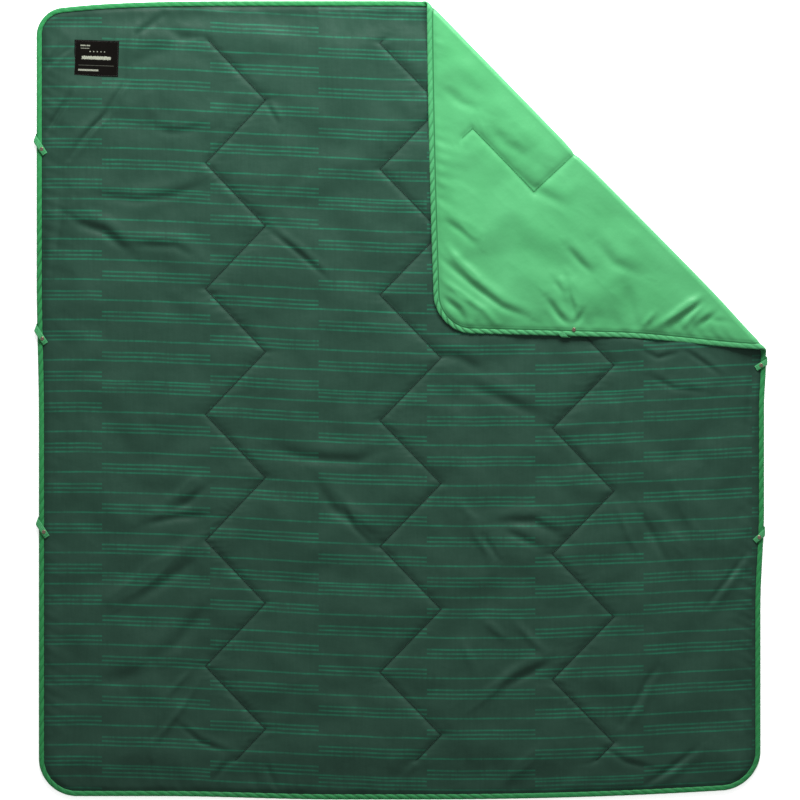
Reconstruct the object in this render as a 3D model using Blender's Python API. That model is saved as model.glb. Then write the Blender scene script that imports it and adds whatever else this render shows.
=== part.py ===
"""A quilted camp blanket with its top right corner turned over, in metres, lying on z = 0.

+X points to the right as the label reads, +Y to the end with the label, +Z up. Every layer is first made flat,
then the corner beyond the fold line is turned over the rest: the short stretch at the fold bends round, the
rest of the corner is the flap. The printed face is up, and the flap shows the plain reverse.
"""

import math

import bmesh
import bpy
from mathutils import Matrix, Vector

# Outline of the flat blanket
HALF_WIDTH = 0.900
HALF_LENGTH = 0.9938
CORNERS = (  # sign of x, sign of y, radius, first angle of the arc
    (-1, -1, 0.095, math.pi),
    (1, -1, 0.095, 1.5 * math.pi),
    (1, 1, 0.095, 0.0),
    (-1, 1, 0.060, 0.5 * math.pi),
)
ARC_STEPS = 7
SIDE_STEPS = 9
SMALLEST_RADIUS = 0.008

# How the outline departs from a rectangle: shares of the half size at which it starts, where the two sides
# lie and how far they bow, and how far the ends draw in towards each corner
SIDE_START = 0.55
END_START = 0.60
RIGHT_SIDE = 0.8960
RIGHT_LOW_BOW = 0.0090
RIGHT_HIGH_BOW = 0.0045
RIGHT_TAPER = 0.0205
LEFT_SIDE = 0.9000
LEFT_BOW = 0.0055
TOP_LEFT_DROP = 0.026
TOP_RIGHT_DROP = 0.0425
BOTTOM_LEFT_RISE = 0.0085
BOTTOM_RIGHT_RISE = 0.029

# Heights of the layers
THICKNESS = 0.0120
RIM_THICKNESS = 0.0070
SHELL = 0.0008
GAP = 0.0003
SIDE_GAP = 0.0007
RIM_WIDTH = 0.036
RISE_WIDTH = 0.040
RISE_STEPS = 4

# Edge binding
BINDING_WIDTH = 0.0130
BINDING_BOTTOM = 0.0011

# Fold line: a point on it, its direction, and the half width of the stretch that bends
FOLD_ANGLE = math.radians(-45.75)
FOLD_POINT = Vector((0.0681, 0.9899, 0.0))
FOLD_ALONG = Vector((math.cos(FOLD_ANGLE), math.sin(FOLD_ANGLE), 0.0))
FOLD_ACROSS = Vector((-math.sin(FOLD_ANGLE), math.cos(FOLD_ANGLE), 0.0))
FOLD_HEIGHT = THICKNESS + GAP / 2
FOLD_HALF = math.pi * FOLD_HEIGHT / 4
FOLD_SLICES = 8

# Quilting lines: the two sides of each zigzag, and the height on the blanket of its first left point
QUILTING = {"a": (-0.485, -0.336, 0.904), "b": (-0.051, 0.101, 0.889), "c": (0.378, 0.531, 0.870)}
QUILTING_STEP = 0.1565
THREAD_WIDTH = 0.0016
THREAD_HEIGHT = 0.0003
GROOVE_WIDTH = 0.0024
GROOVE_DEPTH = 0.0005
QUILTING_END = 0.895
QUILTING_FOLD = (0.602, 0.630)
QUILTING_TOP_B = 0.883
QUILTING_TOP_C = 0.880
GROOVE_BEYOND = 0.001

# Label
LABEL_CENTRE = (-0.757, 0.851)
LABEL_SIZE = (0.111, 0.0895)
LABEL_TURN = math.radians(-2.0)
LABEL_THICKNESS = 0.0005

# Snap loops: height of the tape's root, its direction, how far the root stands out from the edge, the
# distance from the root to the snap, and whether the loop is on the main panel
LEFT_TAPE = (0.548, -0.836)
RIGHT_TAPE = (-0.745, -0.667)
LOOPS = {
    "loop_left_1": (0.649, LEFT_TAPE, 0.0026, 0.0270, True),
    "loop_left_2": (0.176, LEFT_TAPE, 0.0026, 0.0270, True),
    "loop_left_3": (-0.305, LEFT_TAPE, 0.0026, 0.0270, True),
    "loop_right_1": (0.620, RIGHT_TAPE, -0.0004, 0.0215, False),
    "loop_right_2": (0.094, (-0.85, -0.527), -0.0004, 0.0135, True),
    "loop_right_3": (-0.332, RIGHT_TAPE, -0.0004, 0.0135, True),
}
LEAN = math.radians(20.0)
TAPE_WIDTH = 0.014
TAPE_THICKNESS = 0.0006
TAPE_BEYOND_SNAP = 0.0155
TAPE_LOW = 0.0004
TAPE_TOP = 0.0086
TAPE_UNDER = 0.0080
HINGE_GAP = 0.0002
WRAP_STEPS = 8

# Snap parts, as radii and heights in the flat blanket
FLANGE_RADIUS = 0.00475
POST_RADIUS = 0.0017
ROUND_STEPS = 20
HOLE_RADIUS = 0.0022
RECESS_RADIUS = 0.0053
RIVET_BOTTOM = 0.0002
RIVET_TOP = 0.0061
STUD_BOTTOM = RIM_THICKNESS + GAP
SOCKET_BOTTOM = 0.0082
SOCKET_TOP = 0.0099
SNAP_TAPE = 0.0105
CAP_BOTTOM = 0.0112
CAP_TOP = 0.0119

# Colour, roughness and metallic value of each material
LOOKS = {
    "printed_fabric": ((0.035, 0.090, 0.062), 0.55, 0.0),
    "reverse_fabric": ((0.110, 0.480, 0.190), 0.50, 0.0),
    "batting": ((0.850, 0.850, 0.820), 0.95, 0.0),
    "binding": ((0.060, 0.430, 0.120), 0.60, 0.0),
    "thread": ((0.015, 0.060, 0.035), 0.70, 0.0),
    "label": ((0.012, 0.011, 0.008), 0.80, 0.0),
    "label_thread": ((0.020, 0.020, 0.015), 0.80, 0.0),
    "tape": ((0.080, 0.450, 0.160), 0.70, 0.0),
    "snap": ((0.230, 0.130, 0.080), 0.35, 1.0),
}


def clear_scene():
    for item in list(bpy.data.objects):
        bpy.data.objects.remove(item, do_unlink=True)


def material(name):
    made = bpy.data.materials.get(name)
    if made is None:
        colour, roughness, metallic = LOOKS[name]
        made = bpy.data.materials.new(name)
        made.use_nodes = True
        shader = made.node_tree.nodes["Principled BSDF"]
        shader.inputs["Base Color"].default_value = (*colour, 1.0)
        shader.inputs["Roughness"].default_value = roughness
        shader.inputs["Metallic"].default_value = metallic
    return made


def make_object(name, mesh_maker, look):
    """One named object from a bmesh, with its normals pointing out."""
    bmesh.ops.triangulate(mesh_maker, faces=[f for f in mesh_maker.faces if len(f.verts) > 4])
    bmesh.ops.recalc_face_normals(mesh_maker, faces=mesh_maker.faces)
    mesh = bpy.data.meshes.new(name)
    mesh_maker.to_mesh(mesh)
    mesh_maker.free()
    made = bpy.data.objects.new(name, mesh)
    bpy.context.scene.collection.objects.link(made)
    if look is None:
        made.hide_render = True
        made.display_type = "WIRE"
    else:
        mesh.materials.append(material(look))
    return made


def ease(low, high, value):
    share = min(max((value - low) / (high - low), 0.0), 1.0)
    return share * share * (3.0 - 2.0 * share)


def drawn_in(x, y):
    """The outline isn't a true rectangle: its sides bow, and the turned corner is drawn in by its creases."""
    across, along = x / HALF_WIDTH, y / HALF_LENGTH
    if x > 0:
        side = RIGHT_SIDE + RIGHT_LOW_BOW * ease(-0.52, -0.27, y) + RIGHT_HIGH_BOW * ease(-0.02, 0.09, y)
        side -= RIGHT_TAPER * ease(0.12, 0.50, y)
        new_x = x + (side - HALF_WIDTH) * ease(SIDE_START, 1.0, across)
    else:
        side = LEFT_SIDE + LEFT_BOW * ease(-0.05, 0.30, y)
        new_x = x - (side - HALF_WIDTH) * ease(SIDE_START, 1.0, -across)
    if y > 0:
        drop = TOP_LEFT_DROP * across**6 if x < 0 else TOP_RIGHT_DROP * across**1.3
        new_y = y - drop * ease(END_START, 1.0, along)
    else:
        drop = BOTTOM_LEFT_RISE * ease(0.15, 0.60, -x) if x < 0 else BOTTOM_RIGHT_RISE * across**2.2
        new_y = y + drop * ease(END_START, 1.0, -along)
    return new_x, new_y


def ring(inset, height):
    """The blanket's outline moved in by inset, counter-clockwise from the lower left corner."""
    arcs = []
    for sign_x, sign_y, full_radius, first in CORNERS:
        radius = max(full_radius - inset, SMALLEST_RADIUS)
        middle_x = sign_x * (HALF_WIDTH - inset - radius)
        middle_y = sign_y * (HALF_LENGTH - inset - radius)
        angles = [first + 0.5 * math.pi * i / ARC_STEPS for i in range(ARC_STEPS + 1)]
        arcs.append([(middle_x + radius * math.cos(a), middle_y + radius * math.sin(a)) for a in angles])
    points = []
    for arc, following in zip(arcs, arcs[1:] + arcs[:1]):
        points += arc
        (x0, y0), (x1, y1) = arc[-1], following[0]
        for i in range(1, SIDE_STEPS):
            share = i / SIDE_STEPS
            points.append((x0 + share * (x1 - x0), y0 + share * (y1 - y0)))
    return [Vector((*drawn_in(x, y), height)) for x, y in points]


def loft(rings, closed=False):
    """A body through rings of equally many points; closed joins the last ring to the first, else both get a cap."""
    made = bmesh.new()
    rows = [[made.verts.new(point) for point in points] for points in rings]
    pairs = list(zip(rows, rows[1:] + rows[:1])) if closed else list(zip(rows, rows[1:]))
    for low, high in pairs:
        for i in range(len(low)):
            j = (i + 1) % len(low)
            made.faces.new((low[i], low[j], high[j], high[i]))
    if not closed:
        made.faces.new(rows[0])
        made.faces.new(rows[-1])
    return made


def rise(start, low, high):
    """The profile from the thin rim to the full thickness, as (inset, height)."""
    profile = [(start, low), (RIM_WIDTH, low)]
    for i in range(1, RISE_STEPS + 1):
        share = i / RISE_STEPS
        profile.append((RIM_WIDTH + RISE_WIDTH * share, low + (high - low) * ease(0.0, 1.0, share)))
    return profile


def layer(lower, upper):
    return loft([ring(*point) for point in list(reversed(lower)) + upper])


def fold_distance(point):
    return (point - FOLD_POINT).dot(FOLD_ACROSS)


def folded(point):
    """Where a point of the flat blanket lies once the corner is turned over."""
    distance = fold_distance(point)
    if distance <= -FOLD_HALF:
        return point.copy()
    on_line = point - FOLD_ACROSS * distance
    on_line.z = 0.0
    radius = FOLD_HEIGHT - point.z
    if distance >= FOLD_HALF:
        return on_line - FOLD_ACROSS * distance + Vector((0, 0, FOLD_HEIGHT + radius))
    turn = math.pi * (distance + FOLD_HALF) / (2 * FOLD_HALF)
    across = -FOLD_HALF + radius * math.sin(turn)
    return on_line + FOLD_ACROSS * across + Vector((0, 0, FOLD_HEIGHT - radius * math.cos(turn)))


def slice_at(made, distance, keep=0):
    """Cuts along a line parallel to the fold; keep -1 or 1 leaves only that side and closes it."""
    geometry = made.verts[:] + made.edges[:] + made.faces[:]
    bmesh.ops.bisect_plane(
        made, geom=geometry, dist=1e-6, plane_co=FOLD_POINT + FOLD_ACROSS * distance,
        plane_no=FOLD_ACROSS, clear_outer=keep < 0, clear_inner=keep > 0,
    )
    if keep:
        bmesh.ops.holes_fill(made, edges=[e for e in made.edges if e.is_boundary], sides=0)


def turn_over(made):
    for vertex in made.verts:
        vertex.co = folded(vertex.co)


def largest_parts(made, count):
    """The count connected parts with the most vertices, each as its own bmesh, from left to right."""
    left, parts = set(made.verts), []
    while left:
        todo = [left.pop()]
        part = set(todo)
        while todo:
            for edge in todo.pop().link_edges:
                for vertex in edge.verts:
                    if vertex in left:
                        left.discard(vertex)
                        part.add(vertex)
                        todo.append(vertex)
        parts.append(part)
    parts = sorted(parts, key=len, reverse=True)[:count]
    parts.sort(key=lambda part: min(v.co.x for v in part))
    made.verts.index_update()
    kept = []
    for part in parts:
        indices = {v.index for v in part}
        copy = made.copy()
        copy.verts.ensure_lookup_table()
        bmesh.ops.delete(copy, geom=[v for v in copy.verts if v.index not in indices], context="VERTS")
        kept.append(copy)
    made.free()
    return kept


def cut_layer(made, names, look):
    """Splits a flat layer into its main panel, its stretch at the fold and its flap."""
    main_name, fold_names, flap_name = names
    main, bend, flap = made.copy(), made.copy(), made
    slice_at(main, -FOLD_HALF - GAP / 2, keep=-1)
    slice_at(bend, FOLD_HALF - GAP / 2, keep=-1)
    slice_at(bend, -FOLD_HALF + GAP / 2, keep=1)
    for i in range(1, FOLD_SLICES):
        slice_at(bend, FOLD_HALF * (2 * i / FOLD_SLICES - 1))
    slice_at(flap, FOLD_HALF + GAP / 2, keep=1)
    turn_over(bend)
    turn_over(flap)
    objects = [make_object(main_name, main, look)]
    for name, part in zip(fold_names, largest_parts(bend, len(fold_names))):
        objects.append(make_object(name, part, look))
    objects.append(make_object(flap_name, flap, look))
    return objects


def make_shells_and_batting():
    first = BINDING_WIDTH + SIDE_GAP
    inner_low = [(first, SHELL + GAP), (RIM_WIDTH, SHELL + GAP), (RIM_WIDTH + RISE_WIDTH, SHELL + GAP)]
    bottom = layer([(first, 0.0), (RIM_WIDTH, 0.0)], [(first, SHELL), (RIM_WIDTH, SHELL)])
    filling = layer(inner_low, rise(first, RIM_THICKNESS - SHELL - GAP, THICKNESS - SHELL - GAP))
    top = layer(
        rise(first, RIM_THICKNESS - SHELL, THICKNESS - SHELL), rise(first, RIM_THICKNESS, THICKNESS)
    )
    return {
        "bottom_shell": cut_layer(
            bottom, ("bottom_shell", ["bottom_shell_fold"], "bottom_shell_flap"), "reverse_fabric"
        ),
        "batting": cut_layer(filling, ("batting", ["batting_fold"], "batting_flap"), "batting"),
        "top_shell": cut_layer(
            top, ("top_shell", ["top_shell_fold"], "top_shell_flap"), "printed_fabric"
        ),
    }


def make_binding():
    low, high, chamfer = BINDING_BOTTOM, RIM_THICKNESS, 0.0015
    profile = [
        (chamfer, low), (0.0, low + chamfer), (0.0, high - chamfer), (chamfer, high),
        (BINDING_WIDTH - chamfer, high), (BINDING_WIDTH, high - chamfer),
        (BINDING_WIDTH, low + chamfer), (BINDING_WIDTH - chamfer, low),
    ]
    made = loft([ring(*point) for point in profile], closed=True)
    names = ("binding_main", ["binding_fold_top", "binding_fold_right"], "binding_flap")
    return cut_layer(made, names, "binding")


def ribbon(points, width, low, high):
    """A flat strip of constant width along a line of points in the plane."""
    made = bmesh.new()
    rows = []
    for i, point in enumerate(points):
        before = (point - points[i - 1]).normalized() if i else (points[1] - point).normalized()
        after = (points[i + 1] - point).normalized() if i + 1 < len(points) else before
        middle = (before + after).normalized()
        side = Vector((-middle.y, middle.x)) * (0.5 * width / middle.dot(after))
        corners = ((point - side, low), (point + side, low), (point + side, high), (point - side, high))
        rows.append([made.verts.new((p.x, p.y, z)) for p, z in corners])
    for first, second in zip(rows, rows[1:]):
        for i in range(4):
            j = (i + 1) % 4
            made.faces.new((first[i], first[j], second[j], second[i]))
    made.faces.new(rows[0])
    made.faces.new(rows[-1])
    return made


def zigzag(line, low, high):
    """The points of a quilting line between two heights on the blanket, from the top down."""
    left, right, first = QUILTING[line]

    def at(y):
        phase = (first - y) / QUILTING_STEP
        share = phase % 2.0
        share = share if share <= 1.0 else 2.0 - share
        return Vector((left + (right - left) * share, y))

    ys = [high, low]
    for i in range(-1, 14):
        y = first - i * QUILTING_STEP
        if low + 0.004 < y < high - 0.004:
            ys.append(y)
    return [at(y) for y in sorted(ys, reverse=True)]


def cut_with(target, cutter):
    """Takes the cutter out of the target with a Boolean modifier, which stays on the target."""
    modifier = target.modifiers.new(cutter.name, "BOOLEAN")
    modifier.operation = "DIFFERENCE"
    modifier.solver = "EXACT"
    modifier.object = cutter


def make_quilting(top_shell, top_shell_flap):
    limits = [("a", "", -QUILTING_END, QUILTING_END), ("b", "", -QUILTING_END, QUILTING_TOP_B)]
    limits += [("c", "", -QUILTING_END, QUILTING_FOLD[0]), ("c", "_flap", QUILTING_FOLD[1], QUILTING_TOP_C)]
    floor = THICKNESS - GROOVE_DEPTH
    for line, end, low, high in limits:
        groove = ribbon(zigzag(line, low, high), GROOVE_WIDTH, floor, THICKNESS + GROOVE_BEYOND)
        inner = zigzag(line, low + GROOVE_BEYOND, high - GROOVE_BEYOND)
        thread = ribbon(inner, THREAD_WIDTH, floor + 0.0001, floor + 0.0001 + THREAD_HEIGHT)
        if end:
            turn_over(groove)
            turn_over(thread)
        cutter = make_object(f"groove_{line}{end}", groove, None)
        cut_with(top_shell_flap if end else top_shell, cutter)
        make_object(f"quilting_thread_{line}{end}", thread, "thread")


def make_label():
    place = Matrix.Translation((*LABEL_CENTRE, 0.0)) @ Matrix.Rotation(LABEL_TURN, 4, "Z")
    half_x, half_y = LABEL_SIZE[0] / 2, LABEL_SIZE[1] / 2
    low = THICKNESS + GAP

    def rectangle(inset, height):
        signs = ((-1, -1), (1, -1), (1, 1), (-1, 1))
        return [place @ Vector((sx * (half_x - inset), sy * (half_y - inset), height)) for sx, sy in signs]

    patch = loft([rectangle(0.0, low), rectangle(0.0, low + LABEL_THICKNESS)])
    make_object("label_patch", patch, "label")
    base = low + LABEL_THICKNESS + 0.0001
    profile = [(0.0030, base), (0.0026, base), (0.0026, base + 0.0003), (0.0030, base + 0.0003)]
    make_object("label_stitching", loft([rectangle(*p) for p in profile], closed=True), "label_thread")


def turned(centre, profile, closed):
    """A body of revolution about a vertical line; a profile that isn't closed starts and ends on that line."""
    made = bmesh.new()
    rows = []
    for radius, height in profile:
        if radius == 0.0:
            rows.append([made.verts.new((*centre, height))])
            continue
        angles = [2 * math.pi * (i + 0.3) / ROUND_STEPS for i in range(ROUND_STEPS)]
        points = [(centre[0] + radius * math.cos(a), centre[1] + radius * math.sin(a)) for a in angles]
        rows.append([made.verts.new((x, y, height)) for x, y in points])
    pairs = list(zip(rows, rows[1:])) + ([(rows[-1], rows[0])] if closed else [])
    for first, second in pairs:
        for i in range(ROUND_STEPS):
            j = (i + 1) % ROUND_STEPS
            if len(first) == 1:
                made.faces.new((first[0], second[j], second[i]))
            elif len(second) == 1:
                made.faces.new((first[i], first[j], second[0]))
            else:
                made.faces.new((first[i], first[j], second[j], second[i]))
    return made


def smooth_round(item):
    item.data.shade_smooth()
    item.data.set_sharp_from_angle(angle=math.radians(35))


def rivet_profile():
    top = RIVET_BOTTOM + 0.0006
    return [
        (0.0, RIVET_BOTTOM), (FLANGE_RADIUS - 0.0004, RIVET_BOTTOM), (FLANGE_RADIUS, RIVET_BOTTOM + 0.0003),
        (FLANGE_RADIUS, top), (POST_RADIUS, top), (POST_RADIUS, RIVET_TOP + 0.0016), (0.0, RIVET_TOP + 0.0016),
    ]


def stud_profile():
    low, inner, outer, crown = STUD_BOTTOM, POST_RADIUS + 0.0003, 0.0029, 0.0094
    return [
        (0.0, crown), (outer - 0.0006, crown), (outer, crown - 0.0005), (outer - 0.0003, low + 0.0012),
        (outer - 0.0003, low + 0.0006), (FLANGE_RADIUS, low + 0.0006), (FLANGE_RADIUS, low),
        (inner, low), (inner, crown - 0.0006), (0.0, crown - 0.0006),
    ]


def socket_profile():
    low, top, hole = SOCKET_BOTTOM, SOCKET_TOP, 0.0032
    web = top - 0.0002
    return [
        (hole, low), (FLANGE_RADIUS, low), (FLANGE_RADIUS, top), (POST_RADIUS, top),
        (POST_RADIUS, web), (hole, web),
    ]


def cap_profile():
    post = POST_RADIUS - 0.0003
    return [
        (0.0, CAP_TOP), (FLANGE_RADIUS - 0.0004, CAP_TOP), (FLANGE_RADIUS, CAP_TOP - 0.0003),
        (FLANGE_RADIUS, CAP_BOTTOM), (post, CAP_BOTTOM), (post, SOCKET_TOP - 0.0001),
        (0.0, SOCKET_TOP - 0.0001),
    ]


def tape_frame(root_y, direction, beyond):
    """Root of the tape on the blanket's edge, the line it folds over there, the way in and the tape's own way."""
    way = Vector((*direction, 0.0)).normalized()
    outward = -math.copysign(1.0, way.x)
    edge_x, edge_y = drawn_in(outward * HALF_WIDTH, root_y)
    root = Vector((edge_x + outward * beyond, edge_y, 0.0))
    lean = LEAN if outward < 0 else 0.0
    inward = Matrix.Rotation(-lean, 3, "Z") @ Vector((-outward, 0.0, 0.0))
    line = Vector((-inward.y, inward.x, 0.0))
    return root, line, inward, way


def tape_strip(frame, stations, far_end):
    """A thin strip from stations (length from the root, height): below zero length it wraps under the edge."""
    root, line, inward, way = frame
    in_share, side_share = way.dot(inward), way.dot(line)
    half = 0.5 * TAPE_WIDTH / in_share
    radius = (TAPE_TOP - TAPE_THICKNESS / 2 - TAPE_LOW) / 2
    middle = TAPE_LOW + radius
    made = bmesh.new()
    rows = []
    for length, height in stations:
        square = max(length, 0.0) / far_end if far_end else 0.0
        for side in (-half, half):
            depth = (length - square * side * side_share) * in_share
            along = depth * side_share / in_share + side
            bend = -depth / radius
            if depth >= 0:
                inner, up, normal = depth, height, Vector((0, 0, 1))
            elif bend <= math.pi:
                inner, up = -radius * math.sin(bend), middle + radius * math.cos(bend)
                normal = Vector((0, 0, math.cos(bend))) - inward * math.sin(bend)
            else:
                inner, up, normal = -depth - math.pi * radius, TAPE_LOW, Vector((0, 0, -1))
            centre = root + inward * inner + line * along + Vector((0, 0, up))
            rows.append((centre + normal * TAPE_THICKNESS / 2, centre - normal * TAPE_THICKNESS / 2))
    sections = []
    for i in range(0, len(rows), 2):
        (a_out, a_in), (b_out, b_in) = rows[i], rows[i + 1]
        sections.append([made.verts.new(p) for p in (a_out, b_out, b_in, a_in)])
    for first, second in zip(sections, sections[1:]):
        for i in range(4):
            j = (i + 1) % 4
            made.faces.new((first[i], first[j], second[j], second[i]))
    made.faces.new(sections[0])
    made.faces.new(sections[-1])
    return made


def make_loop(name, layers):
    """One snap loop: the tape sewn under the binding, its free end, and the four parts of its snap."""
    root_y, direction, beyond, distance, on_main = LOOPS[name]
    frame = tape_frame(root_y, direction, beyond)
    snap = tuple((frame[0] + frame[3] * distance).xy)
    in_share = frame[3].dot(frame[2])
    top_centre = TAPE_TOP - TAPE_THICKNESS / 2
    far_end = distance + TAPE_BEYOND_SNAP
    radius = (TAPE_TOP - TAPE_THICKNESS / 2 - TAPE_LOW) / 2
    wrap = math.pi * radius / in_share
    free = [
        (HINGE_GAP, top_centre), (distance - 0.0056, SNAP_TAPE), (distance + 0.0056, SNAP_TAPE),
        (far_end - 0.0030, RIM_THICKNESS + 0.0009), (far_end, RIM_THICKNESS + 0.0009),
    ]
    fixed = [(-HINGE_GAP - (wrap - HINGE_GAP) * i / WRAP_STEPS, 0.0) for i in range(WRAP_STEPS + 1)]
    fixed.append((-wrap - TAPE_UNDER / in_share, 0.0))
    pieces = [
        ("tape", tape_strip(frame, free, far_end), "tape"),
        ("anchor", tape_strip(frame, fixed, 0.0), "tape"),
        ("rivet", turned(snap, rivet_profile(), False), "snap"),
        ("stud", turned(snap, stud_profile(), False), "snap"),
        ("socket", turned(snap, socket_profile(), True), "snap"),
        ("cap", turned(snap, cap_profile(), False), "snap"),
    ]
    made = {}
    for kind, shape, look in pieces:
        if not on_main:
            turn_over(shape)
        made[kind] = make_object(f"{name}_{kind}", shape, look)
        if look == "snap":
            smooth_round(made[kind])
    cutters = [
        ("post_hole", HOLE_RADIUS, -0.002, THICKNESS + 0.002, layers),
        ("rivet_recess", RECESS_RADIUS, -0.002, RIVET_BOTTOM + 0.0013, layers),
        ("tape_hole", POST_RADIUS, SNAP_TAPE - 0.001, SNAP_TAPE + 0.001, [made["tape"]]),
    ]
    for kind, size, low, high, targets in cutters:
        shape = turned(snap, [(0.0, low), (size, low), (size, high), (0.0, high)], False)
        if not on_main:
            turn_over(shape)
        cutter = make_object(f"{name}_{kind}", shape, None)
        for target in targets:
            cut_with(target, cutter)


def main():
    clear_scene()
    layers = make_shells_and_batting()
    binding = make_binding()
    make_quilting(layers["top_shell"][0], layers["top_shell"][-1])
    make_label()
    stack = [*layers.values(), binding]
    for name, facts in LOOPS.items():
        make_loop(name, [parts[0] if facts[-1] else parts[-1] for parts in stack])


main()
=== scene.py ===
"""Visual model of a quilted camp blanket that lies flat with one corner turned over, in metres.

Every piece is made in the coordinates of the flat blanket, given its relief there, and then folded as the
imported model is.
"""

import math

import bmesh
import bpy
import numpy as np
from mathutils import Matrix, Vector


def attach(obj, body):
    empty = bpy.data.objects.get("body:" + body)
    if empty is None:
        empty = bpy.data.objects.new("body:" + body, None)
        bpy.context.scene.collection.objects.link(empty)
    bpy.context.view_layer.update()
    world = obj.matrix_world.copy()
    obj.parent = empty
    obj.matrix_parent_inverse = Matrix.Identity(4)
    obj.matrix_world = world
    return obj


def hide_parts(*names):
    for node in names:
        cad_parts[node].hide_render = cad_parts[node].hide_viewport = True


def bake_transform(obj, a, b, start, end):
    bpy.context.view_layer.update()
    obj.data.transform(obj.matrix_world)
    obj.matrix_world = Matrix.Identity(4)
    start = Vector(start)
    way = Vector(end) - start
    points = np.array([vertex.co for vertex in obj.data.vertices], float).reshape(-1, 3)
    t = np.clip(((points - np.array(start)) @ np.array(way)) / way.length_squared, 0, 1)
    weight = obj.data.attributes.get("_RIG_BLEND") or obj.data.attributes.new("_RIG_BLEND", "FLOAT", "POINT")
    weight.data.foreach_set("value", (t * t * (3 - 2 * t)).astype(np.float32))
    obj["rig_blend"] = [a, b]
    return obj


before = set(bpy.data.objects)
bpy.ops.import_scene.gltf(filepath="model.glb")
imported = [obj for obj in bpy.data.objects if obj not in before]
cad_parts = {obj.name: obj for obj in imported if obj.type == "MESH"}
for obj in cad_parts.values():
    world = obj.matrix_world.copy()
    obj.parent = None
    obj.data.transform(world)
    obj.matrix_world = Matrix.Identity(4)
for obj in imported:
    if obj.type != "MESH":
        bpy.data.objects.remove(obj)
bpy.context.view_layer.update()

# Outline of the flat blanket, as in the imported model
HALF_WIDTH = 0.900
HALF_LENGTH = 0.9938
CORNER_RADIUS = 0.095
LABEL_CORNER_RADIUS = 0.060
SIDE_START, END_START = 0.55, 0.60
RIGHT_SIDE, RIGHT_LOW_BOW, RIGHT_HIGH_BOW, RIGHT_TAPER = 0.8960, 0.0090, 0.0045, 0.0205
LEFT_SIDE, LEFT_BOW = 0.9000, 0.0055
TOP_LEFT_DROP, TOP_RIGHT_DROP, BOTTOM_LEFT_RISE, BOTTOM_RIGHT_RISE = 0.026, 0.0425, 0.0085, 0.029

# Layers
THICKNESS = 0.0120
RIM_THICKNESS = 0.0070
LEAST_THICKNESS = 0.0024
SEAM_DIP, SEWN_DIP = 0.0036, 0.0022
FLOOR_GAP = 0.0003
RIM_WIDTH, RISE_WIDTH = 0.032, 0.085
SHELL_INSET = 0.0065
FILLING_INSET = 0.016
BINDING_WIDTH = 0.0130
BINDING_BOTTOM = 0.0011
BINDING_ROUND = 0.006
BINDING_STEP, BINDING_SIDES, ROPE_PERIOD = 0.0032, 20, 0.0265
CLOTH_STEP = 0.0045
FILLING_STEP = 0.013
FILLING_CLEAR = 0.009

# Simulated shell: cell of its grid, how much too large it is, how firmly the filling holds it, and the shares
# of its buckles that show on each face
SHELL_CELL = 0.012
SHELL_SLACK = 0.010
SHELL_FRAMES = 20
FILLING_HOLD = 0.10
PRINTED_SLACK, REVERSE_SLACK = 0.32, 0.38

# Fold
FOLD_ANGLE = math.radians(-45.75)
FOLD_POINT = np.array((0.0681, 0.9899))
FOLD_ACROSS = np.array((-math.sin(FOLD_ANGLE), math.cos(FOLD_ANGLE)))
FOLD_HEIGHT = THICKNESS + 0.00015
FOLD_HALF = math.pi * FOLD_HEIGHT / 4
FOLD_SLICES = 14
SETTLE, SETTLE_WIDTH = 0.0046, 0.070
FOLD_BULGE, FOLD_BULGE_REACH = 0.0040, 0.050
FOLD_NOTCH, FOLD_NOTCH_PLACE = 0.0020, 0.525

# The three parts that the fold makes: their distance from its line, and how their nodes' names end
FAR = 9.0
PARTS = {
    "main": (-FAR, -FOLD_HALF, ""),
    "fold": (-FOLD_HALF, FOLD_HALF, "_fold"),
    "corner": (FOLD_HALF, FAR, "_flap"),
}

# Quilting lines: the two sides of each zigzag and where its first left point is
QUILTING = {"a": (-0.485, -0.336, 0.904), "b": (-0.051, 0.101, 0.889), "c": (0.378, 0.531, 0.870)}
QUILTING_STEP = 0.1565
QUILTING_END = 0.895
QUILTING_TOPS = {"a": 0.895, "b": 0.883, "c": 0.880}
FOLDED_STITCHES = (0.598, 0.634)
STITCH, STITCH_GAP, STITCH_RADIUS, STITCH_OUT = 0.0036, 0.0009, 0.00045, 0.0009

# Label
LABEL_CENTRE = np.array((-0.757, 0.851))
LABEL_SIZE = (0.111, 0.0895)
LABEL_TURN = math.radians(-2.0)

# Snap loops: height of the root, direction, how far the root stands out, root to snap, on the main panel
LEFT_TAPE, RIGHT_TAPE = (0.548, -0.836), (-0.745, -0.667)
LOOPS = {
    "loop_left_1": (0.649, LEFT_TAPE, 0.0026, 0.0270, True),
    "loop_left_2": (0.176, LEFT_TAPE, 0.0026, 0.0270, True),
    "loop_left_3": (-0.305, LEFT_TAPE, 0.0026, 0.0270, True),
    "loop_right_1": (0.620, RIGHT_TAPE, -0.0004, 0.0215, False),
    "loop_right_2": (0.094, (-0.85, -0.527), -0.0004, 0.0135, True),
    "loop_right_3": (-0.332, RIGHT_TAPE, -0.0004, 0.0135, True),
}
LEAN = math.radians(20.0)
TAPE_WIDTH, TAPE_THICKNESS, TAPE_BEYOND_SNAP = 0.014, 0.0007, 0.0155
TAPE_LOW, TAPE_TOP, TAPE_UNDER, SNAP_TAPE = 0.0004, 0.0086, 0.0080, 0.0105
TAPE_EDGE_TOP = TAPE_TOP - 0.0003
TAPE_BEND = 0.5 * (TAPE_EDGE_TOP - TAPE_LOW)
TAPE_COLUMNS, SNAP_RADIUS, HEM_LENGTH = 9, 0.0056, 0.0075

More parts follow.
